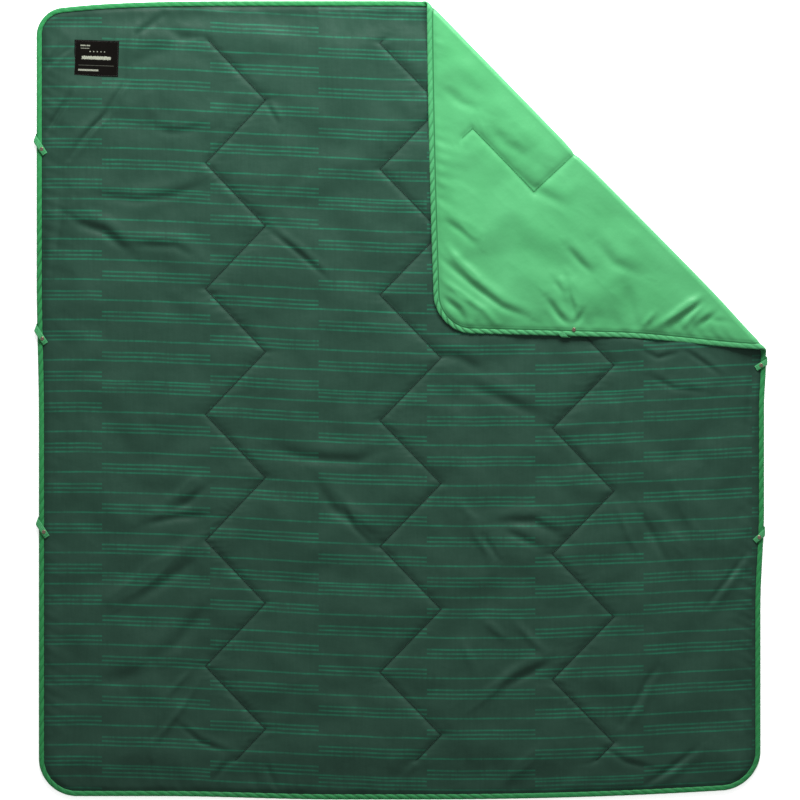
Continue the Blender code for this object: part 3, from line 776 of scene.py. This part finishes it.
def printed_look():
    """Dark green cloth with thin lighter lines in columns: every other line has two more above it. Painted
    shade darkens it near the binding and along the quilting seams.
    """
    look = Look("printed_cloth", 0.50, specular=0.12, sheen=0.02)
    x, y, _ = look.place("UV")
    quarter = 0.5 * math.pi
    hang = ((x - SAG_CENTRE) * (quarter / SAG_REACH)).most(-quarter).least(quarter).work("COSINE")
    wobble = look.speckle(6.0, 2.0, (1.0, 0.2, 1.0)) * 0.006 - 0.003
    down = (y * -1.0 - hang * hang * PRINT_SAG + FIRST_LINE + wobble).wrapped(REPEAT)
    odd_column = ((x - COLUMN_START) / COLUMN_WIDTH).floored().wrapped(2.0)
    even_column = odd_column.flipped()
    regular = (down * -1.0 + LINE_LAST - 0.010).above(0.0)
    to_next = down * -1.0 + REPEAT
    lines = down.bounced(LINE_STEP / 2).within(LINE_HALF, LINE_SOFT) * regular
    for away in (down - LINE_LAST, to_next):
        lines = lines.most(away.within(LINE_HALF, LINE_SOFT))
    in_pair = down.wrapped(2 * LINE_STEP)
    for above in EXTRA_LINES:
        even = (in_pair - (2 * LINE_STEP - above)).within(LINE_HALF, LINE_SOFT) * regular
        even = even.most((to_next - above).within(LINE_HALF, LINE_SOFT))
        odd = (in_pair - (LINE_STEP - above)).within(LINE_HALF, LINE_SOFT) * regular
        odd = odd.most((down - (LINE_LAST - above)).within(LINE_HALF, LINE_SOFT))
        lines = lines.most(even * even_column).most(odd * odd_column)
    slubs = look.speckle(150.0, 3.0, (1.0, 0.10, 1.0))
    patches = look.speckle(11.0, 2.0)
    strength = look.speckle(16.0, 4.0, (1.0, 9.0, 1.0)) * 1.5 - 0.20 + (slubs - 0.5) * patches * 1.6
    lines = (lines * strength).clamped()
    tone = look.speckle(9.0, 5.0) + (slubs - 0.5) * patches * 1.1
    base = look.mixed(tone, (0.0085, 0.0300, 0.0190), (0.0140, 0.0425, 0.0280))
    coloured = look.mixed(lines * 0.85, base, (0.0085, 0.1050, 0.0560))
    # Painted shade: the printed cloth is darkened towards the edge binding, fading out about 46 mm in from
    # the edge, where the rim slopes and puckers.
    painted_edge_shade = (look.mark() * -28.0 + 1.3).clamped()
    coloured = look.mixed(painted_edge_shade * 0.45, coloured, (0.0030, 0.0180, 0.0100))
    # Painted shade: dark bands along the quilting seams and along the binding's inner edge stand in for the
    # shadow in the seams' grooves and beside the binding.
    painted_seam_shade = seam_in_look(look).within(0.0018, 0.0030)
    painted_seam_shade = painted_seam_shade.most((look.mark() - 0.0135).within(0.0014, 0.0025) * 0.8)
    look.colour(look.mixed(painted_seam_shade * 0.85, coloured, (0.0020, 0.0090, 0.0060)))
    look.roughness(look.speckle(20.0) * 0.22 + 0.36)
    crinkle = look.speckle(38.0, 5.0) * 0.7
    look.bump(crinkle + weave(look) * 0.10, 0.0022, 0.55)
    return look.material


def reverse_look():
    look = Look("plain_cloth", 0.45, specular=0.20, sheen=0.05)
    tone = look.speckle(7.0, 5.0)
    base = look.mixed(tone, (0.0360, 0.2000, 0.0700), (0.0540, 0.2450, 0.0980))
    # Painted shade: dark bands along the quilting seams and at the binding's inner edge stand in for the
    # shadow in the seams' grooves and beside the binding.
    painted_seam_shade = seam_in_look(look).within(0.0014, 0.0030) * 0.7
    painted_seam_shade = painted_seam_shade.most((look.mark() - 0.0140).within(0.0016, 0.0025))
    look.colour(look.mixed(painted_seam_shade * 0.85, base, (0.004, 0.062, 0.016)))
    look.roughness(look.speckle(20.0) * 0.20 + 0.32)
    crinkle = look.speckle(30.0, 5.0) * 0.7
    look.bump(crinkle + weave(look) * 0.10, 0.0024, 0.55)
    return look.material


def binding_look():
    """Narrow woven tape with ribs that run along it; its coordinates are length and way round, in metres.
    Painted shade darkens the valleys of its rope wrinkles.
    """
    look = Look("binding_tape", 0.55, specular=0.20, sheen=0.05)
    along, around, _ = look.place("UV")
    rib = around.wave(5200.0) * 0.35
    cross = along.wave(4200.0) * 0.25
    tone = look.speckle(60.0, 4.0, (1.0, 2.0, 1.0))
    upper = (around.wave(1.0 / BINDING_ROUND) * 3.0 - 1.0).clamped()
    front = look.mixed(tone, (0.0050, 0.1150, 0.0260), (0.0150, 0.1800, 0.0520))
    back = look.mixed(tone, (0.0260, 0.1850, 0.0620), (0.0480, 0.2400, 0.0920))
    face = look.mixed(upper, back, front)
    # Painted shade: the valleys between the binding's slanting rope wrinkles are darkened.
    painted_valley_shade = (look.mark() * -1.4 - 0.15).clamped()
    look.colour(look.mixed(painted_valley_shade * 0.85, face, (0.0020, 0.0480, 0.0120)))
    look.bump(rib + cross + tone * 0.4, 0.0009, 0.6)
    return look.material


def tape_look():
    look = Look("loop_tape", 0.60, specular=0.25, sheen=0.10)
    along, across, _ = look.place("UV")
    rib = across.wave(6300.0)
    pick = along.wave(5200.0)
    tone = look.speckle(120.0, 3.0)
    look.colour(look.mixed(tone * 0.6 + rib * 0.3, (0.012, 0.150, 0.042), (0.040, 0.240, 0.090)))
    look.bump(rib * 0.5 + pick * 0.5, 0.0005, 0.8)
    return look.material


def thread_look(name, dark, light):
    """Twisted thread, with the twist as slanted bands."""
    look = Look(name, 0.55, specular=0.3)
    x, y, z = look.place("Object")
    twist = (x + y + z * 2.0).wave(5200.0)
    look.colour(look.mixed(twist, dark, light))
    look.bump(twist, 0.0002, 0.6)
    return look.material


def filling_look():
    look = Look("fibre_filling", 0.95, specular=0.1)
    fibres = look.speckle(300.0, 6.0, kind="Object")
    look.colour(look.mixed(fibres, (0.62, 0.62, 0.58), (0.88, 0.88, 0.85)))
    look.bump(fibres, 0.002, 0.8)
    return look.material


def label_look():
    """Black woven label with a plain cream band and dots, bars in place of words, and a rule."""
    look = Look("woven_label", 0.90, specular=0.04)
    u, v, _ = look.place("UV")

    def bar(middle_u, middle_v, half_u, half_v):
        return (u - middle_u).within(half_u, 0.0006) * (v - middle_v).within(half_v, 0.0006)

    ragged = look.speckle(300.0, 4.0) * 0.0060 - 0.0030
    cream = (v - 0.0010 + ragged).within(0.0040, 0.0010) * (u + ragged).within(0.036, 0.0010)
    for place in (-0.016, -0.007, 0.002, 0.011, 0.020):
        dot = ((u - place) * (u - place) + (v - 0.0165) * (v - 0.0165)).work("SQRT")
        cream = cream.most(dot.within(0.0014, 0.0006))
    for middle_u, half_u in ((-0.034, 0.0065), (-0.021, 0.0045)):
        cream = cream.most(bar(middle_u, 0.0310, half_u, 0.0016) * 0.8)
    cream = cream.most(bar(-0.029, 0.0240, 0.0105, 0.0009) * 0.6)
    cream = cream.most(bar(0.0, -0.0180, 0.0440, 0.0004) * 0.35)
    cream = cream.most(bar(-0.0190, -0.0300, 0.0250, 0.0022) * 0.85)
    worn = look.speckle(420.0, 4.0) * 1.6 - 0.05
    threads = u.wave(7000.0) * 0.5 + v.wave(7000.0) * 0.5
    base = look.mixed(look.speckle(90.0), (0.0016, 0.0013, 0.0010), (0.0034, 0.0028, 0.0022))
    look.colour(look.mixed((cream * worn).least(1.0), base, (0.26, 0.28, 0.22)))
    look.bump(threads, 0.0004, 0.6)
    return look.material


def snap_look():
    """Aged brass, rubbed brighter in places."""
    look = Look("snap_metal", 0.35, metallic=1.0, specular=0.5)
    wear = look.speckle(900.0, 5.0, kind="Object")
    look.colour(look.mixed(wear, (0.090, 0.065, 0.050), (0.300, 0.220, 0.170)))
    look.roughness(wear * 0.30 + 0.25)
    look.bump(wear, 0.0001, 0.5)
    return look.material


# ---------------------------------------------------------------- pieces


def make_cloth():
    """The printed shell in three pieces and the plain shell in one."""
    points, flat, faces = sliced_grid(CLOTH_STEP, SHELL_INSET)
    x, y = points[:, 0], points[:, 1]
    inset = inset_of(flat[:, 0], flat[:, 1])
    look = printed_look()
    upper = folded(np.column_stack([points, printed_height(x, y, inset)]), inset)
    made = {}
    for part, (low, high, _) in PARTS.items():
        name = f"printed_{part}"
        chosen = region(points, faces, low, high)
        made[name] = add_object(name, upper, chosen, look, points, inset)
        made[name]["flat"] = flat_size(flat, chosen)
        made[name]["area"] = flat_area(flat, chosen)
    lower = folded(np.column_stack([points, reverse_height(x, y, inset)]), inset)
    turned_faces = [face[::-1] for face in faces]
    made["plain_shell"] = add_object(
        "plain_shell", lower, turned_faces, reverse_look(), points, inset
    )
    made["plain_shell"]["area"] = flat_area(flat, faces)
    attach(made["printed_main"], "blanket")
    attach(made["printed_corner"], "corner_flap")
    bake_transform(made["printed_fold"], "blanket", "corner_flap", (0, 0, 0.0112), (0, 0, 0.0131))
    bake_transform(made["plain_shell"], "blanket", "corner_flap", (0, 0, 0.0048), (0, 0, 0.0165))
    for part, (_, _, ending) in PARTS.items():
        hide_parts(f"top_shell{ending}")
    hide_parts("bottom_shell", "bottom_shell_fold", "bottom_shell_flap")
    return made


def make_filling():
    """Fibre filling in three closed bodies that keep clear of the shells, and thinner where it is folded."""
    points, flat, faces = sliced_grid(FILLING_STEP, FILLING_INSET)
    x, y = points[:, 0], points[:, 1]
    inset = inset_of(flat[:, 0], flat[:, 1])
    floor, roof = reverse_height(x, y, inset), printed_height(x, y, inset)
    low, high = floor, roof
    for i in range(8):
        dx, dy = FILLING_CLEAR * math.cos(math.pi * i / 4), FILLING_CLEAR * math.sin(math.pi * i / 4)
        low = np.maximum(low, reverse_height(x + dx, y + dy, inset))
        high = np.minimum(high, printed_height(x + dx, y + dy, inset))
    squeezed = 0.0013 + 0.0030 * np.exp(-((fold_distance(x, y) / 0.040) ** 2))
    middle = np.clip(0.5 * (low + high), floor + 0.0008, roof - 0.0008)
    room = np.minimum(middle - floor, roof - middle) - 0.0005
    half = np.clip(0.5 * (high - low) - squeezed, 0.0001, np.maximum(room, 0.0001))
    low, high = middle - half, middle + half
    both = np.concatenate([
        folded(np.column_stack([points, high]), inset), folded(np.column_stack([points, low]), inset)
    ])
    look, count = filling_look(), len(points)
    made = {}
    for part, (start, end, ending) in PARTS.items():
        name = f"filling_{part}"
        chosen = region(points, faces, start, end)
        edges = {(a, b) for face in chosen for a, b in zip(face, face[1:] + face[:1])}
        walls = [[a, a + count, b + count, b] for a, b in edges if (b, a) not in edges]
        under = [[i + count for i in reversed(face)] for face in chosen]
        made[name] = add_object(name, both, chosen + under + walls, look)
        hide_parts(f"batting{ending}")
    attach(made["filling_main"], "blanket")
    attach(made["filling_corner"], "corner_flap")
    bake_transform(made["filling_fold"], "blanket", "corner_flap", (0, 0, 0.0085), (0, 0, 0.0160))
    return made


def outline(step):
    """Rows of flat point, inward direction and length so far, round the outline and closer at the fold."""
    corners = (
        (-1, -1, CORNER_RADIUS, math.pi), (1, -1, CORNER_RADIUS, 1.5 * math.pi),
        (1, 1, CORNER_RADIUS, 0.0), (-1, 1, LABEL_CORNER_RADIUS, 0.5 * math.pi),
    )
    stretches = []
    for i, (sx, sy, radius, first) in enumerate(corners):
        middle = np.array((sx * (HALF_WIDTH - radius), sy * (HALF_LENGTH - radius)))
        stretches.append(("arc", middle, radius, first))
        nx, ny, next_radius, _ = corners[(i + 1) % 4]
        turn = first + 0.5 * math.pi
        normal = np.array((math.cos(turn), math.sin(turn)))
        next_middle = np.array((nx * (HALF_WIDTH - next_radius), ny * (HALF_LENGTH - next_radius)))
        stretches.append(("line", middle + radius * normal, next_middle + next_radius * normal, normal))
    places, length = [], 0.0
    for kind, first, second, third in stretches:
        whole = 0.5 * math.pi * second if kind == "arc" else float(np.hypot(*(second - first)))
        done = 0.0
        while done < whole - 1e-6:
            if kind == "arc":
                angle = third + done / second
                normal = np.array((math.cos(angle), math.sin(angle)))
                point = first + second * normal
            else:
                point, normal = first + (second - first) * done / whole, third
            places.append((*point, *-normal, length + done))
            done += step * (0.3 if abs(fold_distance(*drawn_in(*point))) < 0.03 else 1.0)
        length += whole
    return np.array(places)


def make_binding():
    """Woven tape folded round the edge all the way round, with slanting drag wrinkles like a rope's."""
    flat_x, flat_y, in_x, in_y, along = (column[:, None] for column in outline(BINDING_STEP).T)
    around = np.linspace(0.0, 2 * math.pi, BINDING_SIDES, endpoint=False)
    middle_z = 0.5 * (BINDING_BOTTOM + RIM_THICKNESS)
    half_z = 0.5 * (RIM_THICKNESS - BINDING_BOTTOM) + 0.0001
    across = 0.5 * BINDING_WIDTH * np.sign(np.cos(around)) * np.abs(np.cos(around)) ** 0.75
    up = half_z * np.sign(np.sin(around)) * np.abs(np.sin(around)) ** 0.75
    slant = across / BINDING_WIDTH * 0.85 * np.sign(up + 1e-9)
    drift = noise(along, along * 0.0, 0.15, 71) * 0.8
    rope = np.sin(2 * math.pi * (along / ROPE_PERIOD + slant[None, :]) + drift * 3.0)
    rope = rope * (0.55 + 0.45 * noise(along, along * 0.0 + 3.0, 0.22, 72))
    swell = 1.0 + 0.20 * rope + 0.07 * noise(along, across[None, :], 0.012, 73)
    inset = 0.5 * BINDING_WIDTH + across[None, :] * (1.0 + 0.04 * rope)
    height = np.clip(middle_z + up[None, :] * swell, 0.0002, 0.02)
    x, y = drawn_in((flat_x + in_x * inset).ravel(), (flat_y + in_y * inset).ravel())
    points = folded(np.column_stack([x, y, height.ravel()]), inset.ravel())
    rows, columns = height.shape
    index = np.arange(rows * columns).reshape(rows, columns)
    after, beside = np.roll(index, -1, axis=0), np.roll(index, -1, axis=1)
    faces = np.stack([index, after, np.roll(after, -1, axis=1), beside], axis=-1).reshape(-1, 4)
    place = np.stack(np.broadcast_arrays(along, around * BINDING_ROUND), axis=-1).reshape(-1, 2)
    made = add_object(
        "edge_binding", points, faces[:, ::-1].tolist(), binding_look(), place, rope.ravel()
    )
    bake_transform(made, "blanket", "corner_flap", (0, 0, 0.0086), (0, 0, 0.0122))
    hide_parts("binding_main", "binding_fold_top", "binding_fold_right", "binding_flap")
    return made


def small_stitch(start, end, radius):
    """Points and faces of one stitch: a six-sided spindle lying from start to end."""
    start, end = np.asarray(start), np.asarray(end)
    way = (end - start) / np.linalg.norm(end - start)
    side = np.cross(way, (0.0, 0.0, 1.0))
    side /= np.linalg.norm(side)
    up = np.cross(side, way)
    points, faces = [], []
    for share, thick in ((0.02, 0.45), (0.25, 1.0), (0.75, 1.0), (0.98, 0.45)):
        middle = start + (end - start) * share
        for i in range(6):
            angle = math.pi * i / 3
            points.append(middle + radius * thick * (side * math.cos(angle) + up * math.sin(angle)))
    for ring in range(3):
        for i in range(6):
            j = (i + 1) % 6
            faces.append([6 * ring + i, 6 * ring + j, 6 * ring + 6 + j, 6 * ring + 6 + i])
    faces += [[5, 4, 3, 2, 1, 0], [18, 19, 20, 21, 22, 23]]
    return points, faces


def add_stitches(name, stitches, radius, look):
    """One object that holds many stitches, each given by its two ends."""
    points, faces = [], []
    for start, end in stitches:
        base = len(points)
        new_points, new_faces = small_stitch(start, end, radius)
        points += new_points
        faces += [[base + i for i in face] for face in new_faces]
    return add_object(name, np.array(points), faces, look)


def seam_stitches(line, low, high, face):
    """Ends of the stitches of one quilting line on one face, folded with the blanket."""
    drop = (STITCH + STITCH_GAP) * seam_slope(line)
    count = int((high - low) / drop)
    top = high - drop * np.arange(count)
    bottom = top - drop * STITCH / (STITCH + STITCH_GAP)
    ends = []
    for y in (top, bottom):
        x = seam_across(line, y)
        inset = inset_of(x, y)
        if face == "printed":
            height = printed_height(x, y, inset) + STITCH_OUT
        else:
            height = reverse_height(x, y, inset) - STITCH_OUT
        ends.append(folded(np.column_stack([x, y, height]), inset))
    return list(zip(*ends))


def make_quilting():
    """The stitches of each quilting line on both faces; the third line's stop on both sides of the fold."""
    looks = {
        "printed": thread_look("quilting_thread", (0.004, 0.020, 0.012), (0.012, 0.045, 0.028)),
        "plain": thread_look("quilting_thread_back", (0.010, 0.120, 0.035), (0.025, 0.200, 0.060)),
    }
    stretches = [
        ("a", "", -QUILTING_END, QUILTING_TOPS["a"], "blanket"),
        ("b", "", -QUILTING_END, QUILTING_TOPS["b"], "blanket"),
        ("c", "", -QUILTING_END, FOLDED_STITCHES[0], "blanket"),
        ("c", "_corner", FOLDED_STITCHES[1], QUILTING_TOPS["c"], "corner_flap"),
    ]
    for line, end, low, high, body in stretches:
        for face, look in looks.items():
            stitches = seam_stitches(line, low, high, face)
            made = add_stitches(f"quilting_{line}{end}_{face}", stitches, STITCH_RADIUS, look)
            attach(made, body)
            if face == "printed":
                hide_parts(f"quilting_thread_{line}" + ("_flap" if end else ""))


def make_label():
    """Label patch that follows the cloth, with its stitching all round."""
    columns, rows, stitch_inset, stitch_pitch = 28, 22, 0.0028, 0.0030
    u = np.linspace(-0.5, 0.5, columns + 1) * LABEL_SIZE[0]
    v = np.linspace(-0.5, 0.5, rows + 1) * LABEL_SIZE[1]
    cos, sin = math.cos(LABEL_TURN), math.sin(LABEL_TURN)

    def on_cloth(u, v, above):
        x = LABEL_CENTRE[0] + u * cos - v * sin
        y = LABEL_CENTRE[1] + u * sin + v * cos
        lift = 0.0004 * noise(x, y, 0.03, 81)
        return np.column_stack([x, y, printed_height(x, y, inset_of(x, y)) + above + lift])

    grid_u, grid_v = (g.ravel() for g in np.meshgrid(u, v))
    edge = np.minimum(LABEL_SIZE[0] / 2 - np.abs(grid_u), LABEL_SIZE[1] / 2 - np.abs(grid_v))
    points = on_cloth(grid_u, grid_v, 0.0009 - 0.0007 * np.exp(-edge / 0.0012))
    faces = grid_faces(np.arange(len(points)).reshape(rows + 1, columns + 1)).tolist()
    patch = add_object("sewn_label", points, faces, label_look(), np.stack([grid_u, grid_v], axis=1))
    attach(patch, "blanket")
    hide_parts("label_patch")
    stitches = []
    half_u, half_v = (0.5 * size - stitch_inset for size in LABEL_SIZE)
    corners = [(-half_u, -half_v), (half_u, -half_v), (half_u, half_v), (-half_u, half_v)]
    for (u0, v0), (u1, v1) in zip(corners, corners[1:] + corners[:1]):
        count = round(math.hypot(u1 - u0, v1 - v0) / stitch_pitch)
        shares = np.arange(count) / count
        ends = [
            on_cloth(u0 + (u1 - u0) * share, v0 + (v1 - v0) * share, 0.0011)
            for share in (shares, shares + 0.75 / count)
        ]
        stitches += list(zip(*ends))
    look = thread_look("label_thread", (0.008, 0.008, 0.007), (0.030, 0.030, 0.026))
    sewn = add_stitches("label_stitches", stitches, 0.0003, look)
    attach(sewn, "blanket")
    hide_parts("label_stitching")

def tape_frame(name):
    """Root of the tape on the blanket's edge, the line it folds over, the way in and the tape's own way."""
    root_y, direction, beyond, _, _ = LOOPS[name]
    way = np.array(direction) / math.hypot(*direction)
    outward = -math.copysign(1.0, way[0])
    edge_x, edge_y = drawn_in(np.float64(outward * HALF_WIDTH), np.float64(root_y))
    root = np.array((edge_x + outward * beyond, edge_y))
    lean = LEAN if outward < 0 else 0.0
    inward = -outward * np.array((math.cos(lean), -math.sin(lean)))
    return root, np.array((-inward[1], inward[0])), inward, way


def snap_place(name):
    root, _, _, way = tape_frame(name)
    return root + way * LOOPS[name][3]


def tape_points(name, stations, lift):
    """Rows across the tape at stations (length from the root, height); before the root they wrap the edge."""
    root, line, inward, way = tape_frame(name)
    in_share, side_share = float(way @ inward), float(way @ line)
    half = 0.5 * TAPE_WIDTH / in_share
    far_end = LOOPS[name][3] + TAPE_BEYOND_SNAP
    across = np.linspace(-1.0, 1.0, TAPE_COLUMNS)
    rows = []
    for length, height in stations:
        side = half * across
        depth = (length - max(length, 0.0) / far_end * side * side_share) * in_share
        along = depth * side_share / in_share + side
        crown = lift * (1.0 - across**2)
        bend = np.clip(-depth / TAPE_BEND, 0.0, math.pi)
        wrapped = np.where(bend < math.pi, -TAPE_BEND * np.sin(bend), -depth - math.pi * TAPE_BEND)
        reach = np.where(depth >= 0, depth, wrapped)
        up = np.where(depth >= 0, height + crown, TAPE_LOW + TAPE_BEND * (1.0 + np.cos(bend)))
        flat = root + inward * reach[:, None] + line * along[:, None]
        rows.append(np.column_stack([flat, up]))
    return rows


def make_loop(name, look):
    """One snap loop's tape, from where it is sewn in under the edge to its hemmed free end."""
    _, _, _, distance, on_main = LOOPS[name]
    _, _, inward, way = tape_frame(name)
    in_share = float(way @ inward)
    wrap = math.pi * TAPE_BEND / in_share
    far_end = distance + TAPE_BEYOND_SNAP
    lengths = np.concatenate([
        np.linspace(-wrap - TAPE_UNDER / in_share, -wrap, 5, endpoint=False),
        np.linspace(-wrap, 0.0, 14, endpoint=False), np.linspace(0.0, far_end, 30),
    ])
    places = [0.0, distance - SNAP_RADIUS, distance + SNAP_RADIUS, far_end - 0.0030, far_end]
    heights = [TAPE_EDGE_TOP, SNAP_TAPE, SNAP_TAPE, RIM_THICKNESS + 0.0011, RIM_THICKNESS + 0.0009]
    stations = [(s, float(np.interp(s, places, heights))) for s in lengths]
    centre = np.array(tape_points(name, stations, 0.0002))
    normal = np.cross(np.gradient(centre, axis=0), np.gradient(centre, axis=1))
    normal /= np.linalg.norm(normal, axis=2, keepdims=True)
    if normal[-1, TAPE_COLUMNS // 2, 2] < 0:
        normal = -normal
    edge = 1.0 - 0.5 * np.abs(np.linspace(-1.0, 1.0, TAPE_COLUMNS)) ** 8
    hem = np.where(lengths > far_end - HEM_LENGTH, 1.9, 1.0)[:, None] * edge[None, :]
    offset = normal * (0.5 * TAPE_THICKNESS * hem)[:, :, None]
    count, wide = centre.shape[:2]
    points = np.concatenate([(centre + offset).reshape(-1, 3), (centre - offset).reshape(-1, 3)])
    if not on_main:
        points = folded(points)
    index = np.arange(count * wide).reshape(count, wide)
    shift = count * wide
    quads = grid_faces(index)
    faces = quads.tolist() + (quads[:, ::-1] + shift).tolist()
    rim = list(index[0]) + list(index[1:, -1]) + list(index[-1, -2::-1]) + list(index[-2:0:-1, 0])
    faces += [[a, a + shift, b + shift, b] for a, b in zip(rim, rim[1:] + rim[:1])]
    side = 0.5 * TAPE_WIDTH * np.linspace(-1.0, 1.0, wide)
    place = np.stack(np.broadcast_arrays(lengths[:, None], side), -1)
    place = np.tile(place.reshape(-1, 2), (2, 1))
    made = add_object(f"{name}_webbing", points, faces, look, place)
    fix_normals(made)
    if on_main:
        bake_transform(made, "blanket", f"{name}_free", (0, 0, 0.0030), (0, 0, 0.0072))
    else:
        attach(made, "corner_flap")
    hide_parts(f"{name}_tape", f"{name}_anchor")
    return made


def fix_normals(item):
    work = bmesh.new()
    work.from_mesh(item.data)
    bmesh.ops.recalc_face_normals(work, faces=work.faces)
    work.to_mesh(item.data)
    work.free()


def dress_snaps():
    """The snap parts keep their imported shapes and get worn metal."""
    look = snap_look()
    for name in LOOPS:
        for kind in ("rivet", "stud", "socket", "cap"):
            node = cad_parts[f"{name}_{kind}"]
            node.data.materials.clear()
            node.data.materials.append(look)


# ---------------------------------------------------------------- studio


def make_studio():
    """White floor and sky, one large lamp beyond the top edge, and a camera straight above."""
    bpy.ops.mesh.primitive_plane_add(size=12.0, location=(0.0, 0.0, -FLOOR_DROP))
    floor = bpy.context.object
    floor.name = "studio_floor"
    look = Look("studio_white", 0.9, specular=0.0)
    look.colour(look.mixed(look.speckle(2.0, kind="Object"), (0.90, 0.90, 0.90), (0.92, 0.92, 0.92)))
    look.shader.inputs["Emission Color"].default_value = (1.0, 1.0, 1.0, 1.0)
    look.shader.inputs["Emission Strength"].default_value = FLOOR_GLOW
    floor.data.materials.append(look.material)
    scene = bpy.context.scene
    scene.world = bpy.data.worlds.new("studio")
    scene.world.use_nodes = True
    sky = scene.world.node_tree.nodes["Background"]
    sky.inputs["Color"].default_value = (1.0, 1.0, 1.0, 1.0)
    sky.inputs["Strength"].default_value = WHITE_STRENGTH
    key = bpy.data.lights.new("key", "AREA")
    key.shape, (key.size, key.size_y) = "RECTANGLE", KEY_SIZE
    key.energy = KEY_POWER
    lamp = bpy.data.objects.new("key", key)
    lamp.location = KEY_PLACE
    lamp.rotation_euler = (Vector(KEY_AIM) - lamp.location).to_track_quat("-Z", "Y").to_euler()
    scene.collection.objects.link(lamp)
    camera = bpy.data.cameras.new("camera")
    camera.type, camera.ortho_scale = "ORTHO", VIEW_WIDTH
    view = bpy.data.objects.new("camera", camera)
    view.location = (*VIEW_CENTRE, VIEW_HEIGHT)
    scene.collection.objects.link(view)
    scene.camera = view
    scene.view_settings.view_transform = "Standard"


SHELL_HEIGHTS = simulate_shell()


def main():
    make_studio()
    cloth = make_cloth()
    filling = make_filling()
    binding = make_binding()
    make_quilting()
    make_label()
    look = tape_look()
    loops = [make_loop(name, look) for name in LOOPS]
    dress_snaps()


main()
